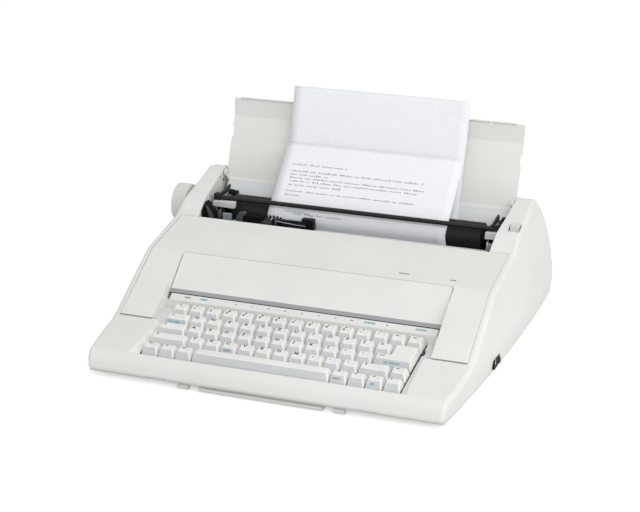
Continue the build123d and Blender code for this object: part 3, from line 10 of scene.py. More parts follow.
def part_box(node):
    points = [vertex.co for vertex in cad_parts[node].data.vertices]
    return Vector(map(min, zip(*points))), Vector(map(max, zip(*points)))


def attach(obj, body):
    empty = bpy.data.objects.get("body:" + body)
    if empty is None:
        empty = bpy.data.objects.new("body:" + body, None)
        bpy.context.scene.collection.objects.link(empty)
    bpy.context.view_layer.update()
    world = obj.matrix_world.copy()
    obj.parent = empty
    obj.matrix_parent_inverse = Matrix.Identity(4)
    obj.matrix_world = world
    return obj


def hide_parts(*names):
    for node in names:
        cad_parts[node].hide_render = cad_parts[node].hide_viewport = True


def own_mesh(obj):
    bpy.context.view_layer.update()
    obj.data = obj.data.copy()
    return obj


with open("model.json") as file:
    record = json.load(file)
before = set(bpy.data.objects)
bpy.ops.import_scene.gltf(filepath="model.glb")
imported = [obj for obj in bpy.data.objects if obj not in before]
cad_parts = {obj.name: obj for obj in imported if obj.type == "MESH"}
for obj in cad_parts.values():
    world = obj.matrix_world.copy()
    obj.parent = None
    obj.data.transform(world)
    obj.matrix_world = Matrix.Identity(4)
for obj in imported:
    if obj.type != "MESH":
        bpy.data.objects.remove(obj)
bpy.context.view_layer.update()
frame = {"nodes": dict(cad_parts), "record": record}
nodes = frame["nodes"]
record = frame["record"]

MM = 0.001

# The machine's own millimetre frame: X 0 at the platen's middle, Y 0 at the front lip, Z 0 on the ground
platen_axis_y = 300.0
platen_low, platen_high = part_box("platen_roller")
origin_x = (platen_low.x + platen_high.x) / 2
origin_y = (platen_low.y + platen_high.y) / 2 - platen_axis_y * MM


def place(x, y, z):
    """A place given in the machine's millimetres, as a point of the scene."""
    return Vector((origin_x + x * MM, origin_y + y * MM, z * MM))


def turned_to(across, along):
    """A turn with its first two directions given and the third square to them."""
    return Matrix((across, along, across.cross(along))).transposed().to_4x4()


# The keyboard's grid: the distance from key to key, the gap between two skirts, and keys across and back
key_pitch = 18.5
key_gap = 1.1
key_units = 15
key_rows = 5
# A keycap: its skirt's height on the keyboard's plane, how far the sides draw in, and the top's hollow
key_skirt = -1.0
key_side_slope = 2.3
key_dish = 0.7
key_corner = 1.5
key_top_corner = 1.9
# The rounded edge of a key's top: its size, and how far in and down its middle lies as shares of that
key_edge = 0.8
key_edge_in = 0.22
key_edge_down = 0.3
# The rings of points over a key's top, and the steps round a corner and along a side
top_rings = (0.75, 0.5, 0.25)
corner_steps = 4
side_steps = 6
stem_half = 2.5
stem_length = 8.0
# How far the outer stems of a wide key lie from its middle, as a share of its width
stabiliser_spread = 0.36
# For each row from the back: the top's height, and how far it draws in from the skirt in front and behind
row_profiles = [(9.4, 5.6, 0.9), (8.8, 5.4, 1.6), (8.4, 5.2, 2.0), (7.8, 4.8, 2.8), (7.3, 5.2, 3.8)]
# The keyboard's plane starts at this line in front and rises to the back
keyboard_front_y = 21.4
keyboard_front_height = 23.6
keyboard_tilt = math.radians(9.6)


def keyboard_matrix():
    """The keyboard's plane: across, back along the keys, and square to it."""
    back = Vector((0, math.cos(keyboard_tilt), math.sin(keyboard_tilt)))
    turn = turned_to(Vector((1, 0, 0)), back)
    return Matrix.Translation(place(0, keyboard_front_y, keyboard_front_height)) @ turn


keyboard_plane = keyboard_matrix()


def on_keyboard(u, v, height):
    """A place on the keyboard's plane and a height above it, in millimetres, as a point of the scene."""
    return keyboard_plane @ Vector((u * MM, v * MM, height * MM))


# Materials
class Nodes:
    """A short way to add shader nodes and join them."""

    def __init__(self, name):
        self.material = bpy.data.materials.new(name)
        self.material.use_nodes = True
        self.tree = self.material.node_tree
        self.shader = self.tree.nodes["Principled BSDF"]

    def add(self, kind):
        return self.tree.nodes.new(kind)

    def set(self, **values):
        """Sets sockets of the shader that are the same all over the surface."""
        for key, value in values.items():
            self.shader.inputs[key.replace("_", " ")].default_value = value

    def join(self, source, output, target, socket):
        self.tree.links.new(source.outputs[output], target.inputs[socket])

    def coordinates(self, stretch=(1, 1, 1)):
        source = self.add("ShaderNodeTexCoord")
        mapping = self.add("ShaderNodeMapping")
        mapping.inputs["Scale"].default_value = stretch
        self.join(source, "Object", mapping, "Vector")
        return mapping

    def noise(self, scale, detail=2.0, stretch=(1, 1, 1)):
        noise = self.add("ShaderNodeTexNoise")
        noise.inputs["Scale"].default_value = scale
        noise.inputs["Detail"].default_value = detail
        self.join(self.coordinates(stretch), "Vector", noise, "Vector")
        return noise

    def ramp(self, source, low, high, start=0.35, end=0.65):
        ramp = self.add("ShaderNodeValToRGB")
        ramp.color_ramp.elements[0].position = start
        ramp.color_ramp.elements[1].position = end
        ramp.color_ramp.elements[0].color = (*low, 1)
        ramp.color_ramp.elements[1].color = (*high, 1)
        self.join(source, "Fac", ramp, "Fac")
        return ramp

    def spread(self, source, low, high):
        """Noise spread between two values."""
        spread = self.add("ShaderNodeMapRange")
        spread.inputs["From Min"].default_value = 0.3
        spread.inputs["From Max"].default_value = 0.7
        spread.inputs["To Min"].default_value = low
        spread.inputs["To Max"].default_value = high
        self.join(source, "Fac", spread, "Value")
        return spread

    def bump(self, source, strength, distance):
        bump = self.add("ShaderNodeBump")
        bump.inputs["Strength"].default_value = strength
        bump.inputs["Distance"].default_value = distance
        self.join(source, "Fac", bump, "Height")
        self.join(bump, "Normal", self.shader, "Normal")

    def colour(self, ramp):
        self.join(ramp, "Color", self.shader, "Base Color")

    def uneven_roughness(self, source, low, high):
        self.join(self.spread(source, low, high), "Result", self.shader, "Roughness")


def scaled(colour, factor):
    """A colour a little lighter or darker."""
    return tuple(min(1.0, channel * factor) for channel in colour)


def moulded(name, colour, roughness, grain=900.0, depth=0.00005, uneven=0.03, specular=0.4):
    """Moulded plastic: an even colour with slight cloudiness and a fine spark-eroded grain."""
    n = Nodes(name)
    n.colour(n.ramp(n.noise(14.0, 3.0), scaled(colour, 1 - uneven), scaled(colour, 1 + uneven / 2)))
    n.uneven_roughness(n.noise(45.0, 3.0), roughness - 0.05, roughness + 0.06)
    n.bump(n.noise(grain, 2.0), 0.35, depth)
    n.set(Specular_IOR_Level=specular)
    return n.material


def rubber(name, colour, roughness):
    """Rubber with a dull, slightly dusty surface."""
    n = Nodes(name)
    n.colour(n.ramp(n.noise(60.0, 5.0), colour, scaled(colour, 1.5), 0.5, 0.85))
    n.uneven_roughness(n.noise(130.0, 3.0), roughness - 0.08, roughness + 0.08)
    n.bump(n.noise(1600.0, 2.0), 0.4, 0.00004)
    n.set(Specular_IOR_Level=0.15)
    return n.material


def metal(name, colour, roughness, stretch=(1, 1, 1)):
    """Machined or drawn metal with fine marks along one direction."""
    n = Nodes(name)
    marks = n.noise(300.0, 4.0, stretch)
    n.colour(n.ramp(marks, scaled(colour, 0.88), scaled(colour, 1.06)))
    n.uneven_roughness(marks, roughness - 0.06, roughness + 0.08)
    n.bump(marks, 0.15, 0.00003)
    n.set(Metallic=1.0)
    return n.material


def painted(name, colour, roughness):
    """Black painted metal with slight rubbing."""
    n = Nodes(name)
    wear = n.noise(80.0, 5.0, (0.3, 1, 1))
    n.colour(n.ramp(wear, colour, scaled(colour, 1.6), 0.5, 0.8))
    n.uneven_roughness(wear, roughness - 0.06, roughness + 0.08)
    n.bump(n.noise(700.0, 2.0), 0.2, 0.00003)
    n.set(Specular_IOR_Level=0.3)
    return n.material


def laminate(name, colour):
    """A circuit board: coated, with darker and lighter tracks."""
    n = Nodes(name)
    tracks = n.add("ShaderNodeTexVoronoi")
    tracks.distance = "MANHATTAN"
    tracks.inputs["Scale"].default_value = 160.0
    n.join(n.coordinates((1, 1, 0.2)), "Vector", tracks, "Vector")
    ramp = n.add("ShaderNodeValToRGB")
    ramp.color_ramp.elements[0].color = (*scaled(colour, 0.7), 1)
    ramp.color_ramp.elements[1].color = (*scaled(colour, 1.4), 1)
    n.join(tracks, "Distance", ramp, "Fac")
    n.colour(ramp)
    n.set(Roughness=0.35)
    return n.material


def paper_stock(name, colour):
    """Writing paper: dull, with faint fibres."""
    n = Nodes(name)
    fibres = n.noise(420.0, 6.0, (1, 1, 0.5))
    n.colour(n.ramp(fibres, scaled(colour, 0.975), scaled(colour, 1.015)))
    n.set(Roughness=0.85, Specular_IOR_Level=0.2, Sheen_Weight=0.05)
    n.bump(fibres, 0.12, 0.00003)
    return n.material


def clear_sheet(name):
    """Clear moulded plastic, lightly scuffed."""
    n = Nodes(name)
    scuffs = n.noise(240.0, 4.0)
    n.uneven_roughness(scuffs, 0.05, 0.2)
    n.set(Base_Color=(0.92, 0.95, 0.97, 1), Transmission_Weight=1.0, IOR=1.2, Alpha=0.35)
    n.bump(scuffs, 0.05, 0.00002)
    return n.material


def print_ink(name, colour, roughness=0.6):
    """Printed marks, a little uneven."""
    n = Nodes(name)
    n.colour(n.ramp(n.noise(500.0, 3.0), scaled(colour, 0.85), scaled(colour, 1.15)))
    n.set(Roughness=roughness)
    return n.material


case_white = (0.80, 0.795, 0.765)
near_black = (0.011, 0.0105, 0.011)
key_grain = {"grain": 1300.0, "depth": 0.00003}
# The finish of each of the record's material slots
finishes = {
    "case_plastic": moulded("case_plastic", case_white, 0.52),
    "cover_plastic": moulded("cover_plastic", case_white, 0.52),
    "panel_plastic": moulded("panel_plastic", scaled(case_white, 0.99), 0.5),
    "lid_plastic": moulded("lid_plastic", case_white, 0.5),
    "keyboard_plastic": moulded("keyboard_plastic", (0.76, 0.76, 0.74), 0.55),
    "key_plastic": moulded("key_plastic", (0.83, 0.83, 0.805), 0.45, **key_grain),
    "tray_plastic": moulded("tray_plastic", (0.66, 0.655, 0.63), 0.6),
    "deck_plastic": moulded("deck_plastic", (0.84, 0.865, 0.875), 0.45),
    "hub_plastic": moulded("hub_plastic", (0.70, 0.70, 0.68), 0.45),
    "knob_plastic": moulded("knob_plastic", (0.70, 0.695, 0.67), 0.45),
    "black_plastic": moulded("black_plastic", near_black, 0.45, uneven=0.2, specular=0.15),
    "gear_plastic": moulded("gear_plastic", (0.62, 0.61, 0.55), 0.4),
    "wheel_plastic": moulded("wheel_plastic", (0.04, 0.04, 0.045), 0.4, uneven=0.2, specular=0.25),
    "clear_plastic": clear_sheet("clear_plastic"),
    "platen_rubber": rubber("platen_rubber", (0.022, 0.0185, 0.020), 0.5),
    "soft_rubber": rubber("soft_rubber", (0.02, 0.02, 0.02), 0.7),
    "black_metal": painted("black_metal", near_black, 0.42),
    "plate_steel": metal("plate_steel", (0.52, 0.52, 0.53), 0.38),
    "bright_steel": metal("bright_steel", (0.68, 0.68, 0.70), 0.2, (0.05, 1, 1)),
    "core_metal": metal("core_metal", (0.66, 0.66, 0.67), 0.35),
    "bush_brass": metal("bush_brass", (0.66, 0.50, 0.22), 0.32),
    "motor_metal": metal("motor_metal", (0.42, 0.42, 0.43), 0.42),
    "board_laminate": laminate("board_laminate", (0.03, 0.12, 0.05)),
    "paper_white": paper_stock("paper_white", (0.90, 0.915, 0.95)),
}
# Finishes of single pieces
# Near-black plastic; also painted shade in the deep gaps round the keys and under the panel
dark_plastic_and_shade = moulded("dark_plastic_and_shade", (0.009, 0.009, 0.009), 0.55, uneven=0.2, specular=0.15)
# A darker copy of the deck plastic for the deck's up-facing back strip: painted shade
deck_back_painted_shade = moulded("deck_back_painted_shade", (0.72, 0.74, 0.745), 0.45)
slate_plastic = moulded("slate_plastic", (0.075, 0.085, 0.10), 0.5, uneven=0.1)
# A darker, bluer copy of the key plastic for the keys' front faces: painted shade
key_front_painted_shade = moulded("key_front_painted_shade", (0.60, 0.615, 0.635), 0.45, **key_grain)
grey_plastic = moulded("grey_plastic", (0.10, 0.10, 0.105), 0.5, uneven=0.1)
pale_plastic = moulded("pale_plastic", (0.68, 0.69, 0.67), 0.45)
blue_grey_plastic = moulded("blue_grey_plastic", (0.22, 0.27, 0.31), 0.4, uneven=0.08)
edge_plastic = moulded("edge_plastic", (0.345, 0.345, 0.36), 0.45, uneven=0.05)
legend_ink = print_ink("legend_ink", (0.03, 0.03, 0.032))
# Grey print; also the painted light on the clear card holder's edge
grey_ink_and_edge_light = print_ink("grey_ink_and_edge_light", (0.36, 0.38, 0.40))
blue_ink = print_ink("blue_ink", (0.28, 0.41, 0.48))
pale_blue_ink = print_ink("pale_blue_ink", (0.46, 0.58, 0.62))
white_ink = print_ink("white_ink", (0.75, 0.75, 0.74))
typed_ink = print_ink("typed_ink", (0.24, 0.25, 0.30), 0.8)


def dress_nodes():
    """Gives every CAD node the finish of its slot."""
    slot_of = {entry["node"]: entry["material_slot"] for entry in record["subparts"]}
    for name, node in nodes.items():
        node.data.materials.clear()
        node.data.materials.append(finishes[slot_of[name]])
    nodes["platen_hubs"].data.materials[0] = dark_plastic_and_shade
    for name in ("platen_bushes", "hammer_coil"):
        nodes[name].data.materials[0] = finishes["black_metal"]


# Edges that turn by less than this angle stay as they are
rounded_from = 28.0


def smooth(piece, angle=35.0):
    """Smooth shading across faint edges only."""
    for polygon in piece.data.polygons:
        polygon.use_smooth = True
    if "sharp_edge" not in piece.data.attributes:
        piece.data.set_sharp_from_angle(angle=math.radians(angle))


def round_edges(piece, width, segments=3):
    """Rounds a piece's sharp edges, as moulding does."""
    bevel = piece.modifiers.new("edge_round", "BEVEL")
    bevel.width = width * MM
    bevel.segments = segments
    bevel.limit_method = "ANGLE"
    bevel.angle_limit = math.radians(rounded_from)


def mesh_of(form, name, closed=True):
    """A form made into a mesh, with the faces of a closed one turned outwards."""
    if closed:
        bmesh.ops.recalc_face_normals(form, faces=form.faces)
    mesh = bpy.data.meshes.new(name)
    form.to_mesh(mesh)
    form.free()
    return mesh


def add_piece(name, mesh, material, body):
    """A new piece of the model that rides on a body."""
    piece = bpy.data.objects.new(name, mesh)
    bpy.context.scene.collection.objects.link(piece)
    piece.data.materials.append(material)
    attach(piece, body)
    return piece


# The width of the rounding on the CAD nodes' edges
node_roundings = {
    "top_cover": 0.5, "cover_panel": 0.5, "paper_support": 0.4, "keyboard_frame": 0.4, "power_rocker": 0.4,
    "switch_body": 0.4, "release_lever": 0.4, "carriage_frame": 0.3, "ribbon_cassette": 0.5,
    "carrying_handle": 0.4, "upper_case": 0.35,
}
dress_nodes()
for rounded_node, rounding in node_roundings.items():
    round_edges(nodes[rounded_node], rounding, 2)
for node in nodes.values():
    smooth(node)


# Solids drawn out from outlines
def plane(origin, across, along):
    """A plane with its own two directions and the one square to them, at a place in millimetres."""
    turn = turned_to(Vector(across).normalized(), Vector(along).normalized())
    return Matrix.Translation(place(*origin)) @ turn


def upright_plane(y):
    """Seen from the front: across and up."""
    return plane((0, y, 0), (1, 0, 0), (0, 0, 1))


def side_plane(x):
    """Seen from the right: back and up."""
    return plane((x, 0, 0), (0, 1, 0), (0, 0, 1))


def slope_plane(y_from, z_from, y_to, z_to):
    """Across and up a slope that starts at a line."""
    return plane((0, y_from, z_from), (1, 0, 0), (0, y_to - y_from, z_to - z_from))


def add_slab(mesh, outline, matrix, low, high):
    """A solid between two heights over a flat outline."""
    rings = []
    for height in (low, high):
        rings.append([mesh.verts.new(matrix @ Vector((u * MM, v * MM, height * MM))) for u, v in outline])
    mesh.faces.new(rings[0])
    mesh.faces.new(rings[1])
    for i in range(len(outline)):
        j = (i + 1) % len(outline)
        mesh.faces.new((rings[0][i], rings[0][j], rings[1][j], rings[1][i]))


def rectangle(u_from, u_to, v_from, v_to):
    """A rectangle's outline."""
    return [(u_from, v_from), (u_to, v_from), (u_to, v_to), (u_from, v_to)]


def build(name, slabs, material, body, rounding=0.0):
    """A piece made of slabs, with its edges rounded where it is moulded."""
    form = bmesh.new()
    for outline, matrix, low, high in slabs:
        add_slab(form, outline, matrix, low, high)
    piece = add_piece(name, mesh_of(form, name), material, body)
    if rounding:
        round_edges(piece, rounding)
    smooth(piece)
    return piece


# Keycaps
def key_row_v(row):
    """How far back a row's middle lies."""
    return (key_rows - row - 0.5) * key_pitch


def key_left(unit):
    """Where a key starts that has so many key widths to its left."""
    return -key_units * key_pitch / 2 + unit * key_pitch


def key_skirt_box(unit, width, row):
    """A key's lower outline on the keyboard's plane."""
    front = key_row_v(row) - key_pitch / 2 + key_gap / 2
    left = key_left(unit) + key_gap / 2
    right = key_left(unit + width) - key_gap / 2
    return left, right, front, front + key_pitch - key_gap


def top_centre(unit, width, row):
    """The middle of a key's top."""
    left, right, front, back = key_skirt_box(unit, width, row)
    height, draw_front, draw_back = row_profiles[row]
    return (left + right) / 2, (front + draw_front + back - draw_back) / 2


def top_height(u, unit, width, row):
    """The height of a key's top above the keyboard's plane, hollowed across all but the space bar."""
    left, right, front, back = key_skirt_box(unit, width, row)
    half = (right - left) / 2 - key_side_slope
    share = min(1.0, abs(u - (left + right) / 2) / half)
    hollow = key_dish if width < 3 else 0.0
    return row_profiles[row][0] - hollow * (1 - share ** 2)


def rounded_ring(box, corner):
    """A rectangle with rounded corners, with points along its sides too."""
    u_from, u_to, v_from, v_to = box
    corners = (
        (u_to - corner, v_to - corner), (u_from + corner, v_to - corner),
        (u_from + corner, v_from + corner), (u_to - corner, v_from + corner),
    )
    arcs = []
    for i, (u, v) in enumerate(corners):
        arc = []
        for k in range(corner_steps + 1):
            angle = math.radians(90 * (i + k / corner_steps))
            arc.append(Vector((u + corner * math.cos(angle), v + corner * math.sin(angle))))
        arcs.append(arc)
    points = []
    for i, arc in enumerate(arcs):
        points += arc
        next_start = arcs[(i + 1) % 4][0]
        points += [arc[-1].lerp(next_start, k / side_steps) for k in range(1, side_steps)]
    return points


def drawn_in(box, row, share, extra=0.0):
    """A key's outline part of the way up its drawn-in sides."""
    left, right, front, back = box
    height, draw_front, draw_back = row_profiles[row]
    side = key_side_slope * share + extra
    return left + side, right - side, front + draw_front * share + extra, back - draw_back * share - extra


def add_cap(mesh, unit, width, row):
    """A keycap: sloping sides, the front one in the second material with painted shade, a rounded edge and a
    hollowed top.
    """
    box = key_skirt_box(unit, width, row)
    crown = row_profiles[row][0]
    shoulder = 1 - key_edge / (crown - key_skirt)
    rings = [[(p, key_skirt) for p in rounded_ring(box, key_corner)]]
    for share, extra, drop in (
        (shoulder, 0.0, key_edge), (1.0, key_edge * key_edge_in, key_edge * key_edge_down),
        (1.0, key_edge, 0.0),
    ):
        outline = rounded_ring(drawn_in(box, row, share, extra), key_top_corner)
        rings.append([(p, top_height(p.x, unit, width, row) - drop) for p in outline])
    middle = Vector(top_centre(unit, width, row))
    for shrink in top_rings:
        points = [middle + (p - middle) * shrink for p, height in rings[3]]
        rings.append([(p, top_height(p.x, unit, width, row)) for p in points])
    solid = [[mesh.verts.new(on_keyboard(p.x, p.y, height)) for p, height in ring] for ring in rings]
    count = len(solid[0])
    front_limit = box[2] + key_corner * 0.2
    for level, (low, high) in enumerate(zip(solid, solid[1:])):
        for i in range(count):
            j = (i + 1) % count
            face = mesh.faces.new((low[i], low[j], high[j], high[i]))
            # Faces of the skirt's front take the darker second material: painted shade
            if level == 0 and max(rings[0][i][0].y, rings[0][j][0].y) < front_limit:
                face.material_index = 1
    mesh.faces.new(list(reversed(solid[0])))
    tip = mesh.verts.new(on_keyboard(middle.x, middle.y, top_height(middle.x, unit, width, row)))
    for i in range(count):
        mesh.faces.new((solid[-1][i], solid[-1][(i + 1) % count], tip))


def stem_places(unit, width, row):
    """The stem under a key, and two more under one of two widths or more."""
    centre = key_left(unit + width / 2)
    spread = width * key_pitch * stabiliser_spread
    across = [centre] if width < 2 else [centre - spread, centre, centre + spread]
    return [(u, key_row_v(row)) for u in across]


def stem_slabs(places):
    """The stems, from under the caps down through the keyboard's frame."""
    return [
        (rectangle(u - stem_half, u + stem_half, v - stem_half, v + stem_half), keyboard_plane,
         key_skirt - stem_length, key_skirt)
        for u, v in places
    ]


# The keys of each bank: how many key widths lie to the left, the width, and the row from the back
key_banks = {
    "number_keys": [(unit, 1, 0) for unit in range(1, 13)],
    "upper_letter_keys": [(1.5 + unit, 1, 1) for unit in range(12)],
    "middle_letter_keys": [(1.75 + unit, 1, 2) for unit in range(11)],
    "lower_letter_keys": [(2.25 + unit, 1, 3) for unit in range(10)],
    "left_function_keys": [(0, 1, 0), (0, 1, 4), (1, 1, 4), (2, 1, 4)],
    "right_function_keys": [(13, 1, 0), (14, 1, 0), (14, 1, 3)] + [(unit, 1, 4) for unit in range(11, 15)],
    "tab_key": [(0, 1.5, 1)],
    "shift_lock_key": [(0, 1.75, 2)],
    "left_shift_key": [(0, 2.25, 3)],
    "right_shift_key": [(12.25, 1.75, 3)],
    "space_bar": [(3, 8, 4)],
}


def add_key_bank(name, keys):
    """All keycaps of one bank with their stems, in place of the bank's plain solids."""
    form = bmesh.new()
    for unit, width, row in keys:
        add_cap(form, unit, width, row)
        for outline, matrix, low, high in stem_slabs(stem_places(unit, width, row)):
            add_slab(form, outline, matrix, low, high)
    mesh = mesh_of(form, name + "_caps")
    piece = add_piece(name + "_caps", mesh, finishes["key_plastic"], name + "_body")
    piece.data.materials.append(key_front_painted_shade)
    smooth(piece, 50.0)
    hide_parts(name)


# The return key's part in its own row and its part in the row behind
return_wide = (12.75, 2.25, 2)
return_tall = (13.5, 1.5, 1)
return_top = row_profiles[2][0]


def return_outline(share):
    """The return key's outline part of the way up: wide in its own row, narrower in the row behind."""
    wide = drawn_in(key_skirt_box(*return_wide), 2, share)
    tall = drawn_in(key_skirt_box(*return_tall), 1, share)
    step_v = key_skirt_box(*return_wide)[3] - row_profiles[2][2] * share
    return [
        (wide[0], wide[2]), (wide[1], wide[2]), (wide[1], tall[3]),
        (tall[0], tall[3]), (tall[0], step_v), (wide[0], step_v),
    ]


def add_return_key():
    """The return key over two rows, with its two stems."""
    form = bmesh.new()
    rings = []
    for share, height in ((0, key_skirt), (1, return_top)):
        rings.append([form.verts.new(on_keyboard(u, v, height)) for u, v in return_outline(share)])
    form.faces.new(rings[0])
    form.faces.new(rings[1])
    for i in range(6):
        j = (i + 1) % 6
        face = form.faces.new((rings[0][i], rings[0][j], rings[1][j], rings[1][i]))
        # The front face takes the darker second material: painted shade
        face.material_index = 1 if i == 0 else 0
    stem_u = key_left(key_units - 0.75)
    for outline, matrix, low, high in stem_slabs([(stem_u, key_row_v(1)), (stem_u, key_row_v(2))]):
        add_slab(form, outline, matrix, low, high)
    mesh = mesh_of(form, "return_key_cap")
    piece = add_piece("return_key_cap", mesh, finishes["key_plastic"], "return_key_body")
    piece.data.materials.append(key_front_painted_shade)
    round_edges(piece, 0.9)
    smooth(piece)
    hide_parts("return_key")


# Legends on the keys: the size of each kind of character, and its place from the middle of the key's top
letter_size = 5.6
letter_place = (-2.6, 2.1)
digit_size = 4.8
digit_place = (-3.0, -0.6)
sign_size = 3.6
sign_place = (-1.6, 3.5)
dot_place = (3.4, 3.9)
legend_thickness = 0.08
legend_weight = 0.24


def glyph_mesh(text, size):
    """One character as a flat mesh, centred on its own place, in millimetres."""
    curve = bpy.data.curves.new("glyph", "FONT")
    curve.body = text
    curve.size = size
    curve.align_x = "CENTER"
    curve.align_y = "CENTER"
    curve.resolution_u = 3
    curve.extrude = legend_thickness / 2
    curve.offset = legend_weight
    holder = bpy.data.objects.new("glyph", curve)
    bpy.context.scene.collection.objects.link(holder)
    bpy.context.view_layer.update()
    graph = bpy.context.evaluated_depsgraph_get()
    mesh = bpy.data.meshes.new_from_object(holder.evaluated_get(graph))
    bpy.data.objects.remove(holder)
    return mesh


def legend_parts(entries):
    """Joins characters into one mesh that lies on the hollowed tops of keys one width wide."""
    joined = bmesh.new()
    for text, size, unit, row, (shift_u, shift_v) in entries:
        mesh = glyph_mesh(text, size)
        middle_u, middle_v = top_centre(unit, 1, row)
        start = len(joined.verts)
        joined.from_mesh(mesh)
        joined.verts.ensure_lookup_table()
        for vertex in joined.verts[start:]:
            u = middle_u + shift_u + vertex.co.x
            v = middle_v + shift_v + vertex.co.y
            height = top_height(u, unit, 1, row) + vertex.co.z
            vertex.co = on_keyboard(u, v, height)
        bpy.data.meshes.remove(mesh)
    return mesh_of(joined, "legends", closed=False)


def row_legends(characters, first_unit, row):
    """One character on the upper left of each key of a row."""
    return [(c, letter_size, first_unit + i, row, letter_place) for i, c in enumerate(characters)]


def number_legends():
    """Two characters on each number key, one above the other, and a dot beside them."""
    legends = []
    for unit, (digit, sign) in enumerate(zip("1234567890-'", "!\"#$%&/()=?*"), start=1):
        legends.append((digit, digit_size, unit, 0, digit_place))
        legends.append((sign, sign_size, unit, 0, sign_place))
        legends.append((".", sign_size, unit, 0, dot_place))
    return legends


for bank_name, bank_keys in key_banks.items():
    add_key_bank(bank_name, bank_keys)
add_return_key()
add_piece("number_legends", legend_parts(number_legends()), legend_ink, "number_keys_body")
letter_rows = [
    ("upper_letter", "QWERTZUIOP[+", 1.5, 1), ("middle_letter", "ASDFGHJKL;:", 1.75, 2),
    ("lower_letter", "YXCVBNM,.-", 2.25, 3),
]
for row_name, characters, first_unit, row in letter_rows:
    add_piece(
        row_name + "_legends", legend_parts(row_legends(characters, first_unit, row)), legend_ink,
        row_name + "_keys_body",
    )

# Marks on the fronts and tops of the function keys; places are counted from the middle of a key's top
arrow_length = 4.2
arrow_place = (-2.4, 1.8)
# An arrow's outline, in half lengths from its middle
arrow_outline = [(-1, -0.16), (0.2, -0.16), (0.2, -0.55), (1, 0), (0.2, 0.55), (0.2, 0.16), (-1, 0.16)]
bar_start = -4.4
bar_low = 1.6
bar_width = 1.2


def key_front_plane(unit, row):
    """The sloping front face of a key, from its lower left corner."""
    left, right, front, back = key_skirt_box(unit, 1, row)
    height, draw_front, draw_back = row_profiles[row]
    rise = Vector((0, draw_front, height - key_skirt)).normalized()
    start = Vector((left, front, key_skirt)) * MM
    return keyboard_plane @ Matrix.Translation(start) @ turned_to(Vector((1, 0, 0)), rise)


def front_bar(unit, row, u_from, u_to, v_from, v_to, low=-0.04, high=0.06):
    """A printed bar on a key's front."""
    return (rectangle(u_from, u_to, v_from, v_to), key_front_plane(unit, row), low, high)


def top_bar(unit, row, length):
    """A short printed mark on the upper left of a key's top."""
    middle_u, middle_v = top_centre(unit, 1, row)
    start = middle_u + bar_start
    low = middle_v + bar_low
    height = top_height(start + length / 2, unit, 1, row)
    outline = rectangle(start, start + length, low, low + bar_width)
    return (outline, keyboard_plane, height - 0.2, height + 0.12)


def arrow(unit, width, row, angle):
    """A plain arrow on the left part of a key's top."""
    turn = Matrix.Rotation(math.radians(angle), 2)
    middle_u, middle_v = top_centre(unit, width, row)
    start_u = middle_u + arrow_place[0] - (width - 1) * key_pitch / 2
    points = []
    for u, v in arrow_outline:
        turned = turn @ Vector((u, v)) * arrow_length / 2
        points.append((start_u + turned.x, middle_v + arrow_place[1] + turned.y))
    height = top_height(start_u, unit, width, row)
    return (points, keyboard_plane, height - 0.15, height + 0.12)


def mark_key(name, slabs, material, key_name):
    """Marks printed on one key or bank of keys."""
    build(name, slabs, material, key_name + "_body")


mark_key("tab_marks", [arrow(0, 1.5, 1, 0)], legend_ink, "tab_key")
mark_key("tab_tint", [front_bar(0, 1, 2.4, 24.0, 5.0, 9.4)], pale_blue_ink, "tab_key")
mark_key("tab_bars", [
    front_bar(0, 1, u_from, u_to, 6.0, 7.8, 0.04, 0.12) for u_from, u_to in ((6.0, 10.0), (11.0, 17.4))
], blue_ink, "tab_key")
mark_key("lock_marks", [arrow(0, 1.75, 2, 270)], legend_ink, "shift_lock_key")
mark_key("left_shift_marks", [arrow(0, 2.25, 3, 90)], legend_ink, "left_shift_key")
mark_key("right_shift_marks", [arrow(12.25, 1.75, 3, 90)], legend_ink, "right_shift_key")

# The return key's bent arrow, round a place on its wide part
return_mark_u = 105.2
return_mark_v = key_row_v(2) + 2.6
bent_arrow = [
    (-2.6, 0.0), (-1.0, 1.1), (-1.0, 0.4), (1.6, 0.4), (1.6, 2.0), (2.4, 2.0), (2.4, -0.4), (-1.0, -0.4),
    (-1.0, -1.1),
]
mark_key("return_marks", [
    ([(return_mark_u + u, return_mark_v + v) for u, v in bent_arrow], keyboard_plane, return_top - 0.1,
     return_top + 0.1),
], legend_ink, "return_key")
mark_key("return_bars", [
    front_bar(12.75, 2, u_from, u_to, 6.4, 8.4) for u_from, u_to in ((11.2, 16.5), (17.5, 27.9))
], blue_ink, "return_key")
mark_key("letter_front_bar", [front_bar(4.25, 3, 3.9, 11.0, 5.2, 7.4)], blue_ink, "lower_letter_keys")
mark_key("function_front_bars", [front_bar(11, 4, 2.6, 10.6, 4.4, 6.2)], grey_ink_and_edge_light, "right_function_keys")
mark_key("function_blue_bar", [front_bar(13, 4, 5.1, 9.4, 4.4, 6.2)], blue_ink, "right_function_keys")

# The short marks on the function keys: place, row and length
right_bars = [
    (13, 0, 4.0), (14, 0, 4.6), (14, 3, 3.4), (11, 4, 4.2), (12, 4, 2.6), (13, 4, 3.4), (14, 4, 2.4),
]
left_bars = [(0, 0, 4.4), (0, 4, 4.0), (1, 4, 3.2), (2, 4, 3.8)]
mark_key("function_marks", [top_bar(*bar) for bar in right_bars], legend_ink, "right_function_keys")
mark_key("left_function_marks", [top_bar(*bar) for bar in left_bars], legend_ink, "left_function_keys")

# Label strip behind the keys, with printed marks in one line
label_plane = slope_plane(114.6, 48.4, 121.8, 53.0)
label_v = 5.1
grey_label_half = 1.2
blue_labels = [(-132.3, -125.3), (-113.9, -105.9), (69.5, 81.5), (124.5, 136.5)]
grey_labels = [-73.0 + key_pitch * i for i in range(8)] + [55.6, 94.4]


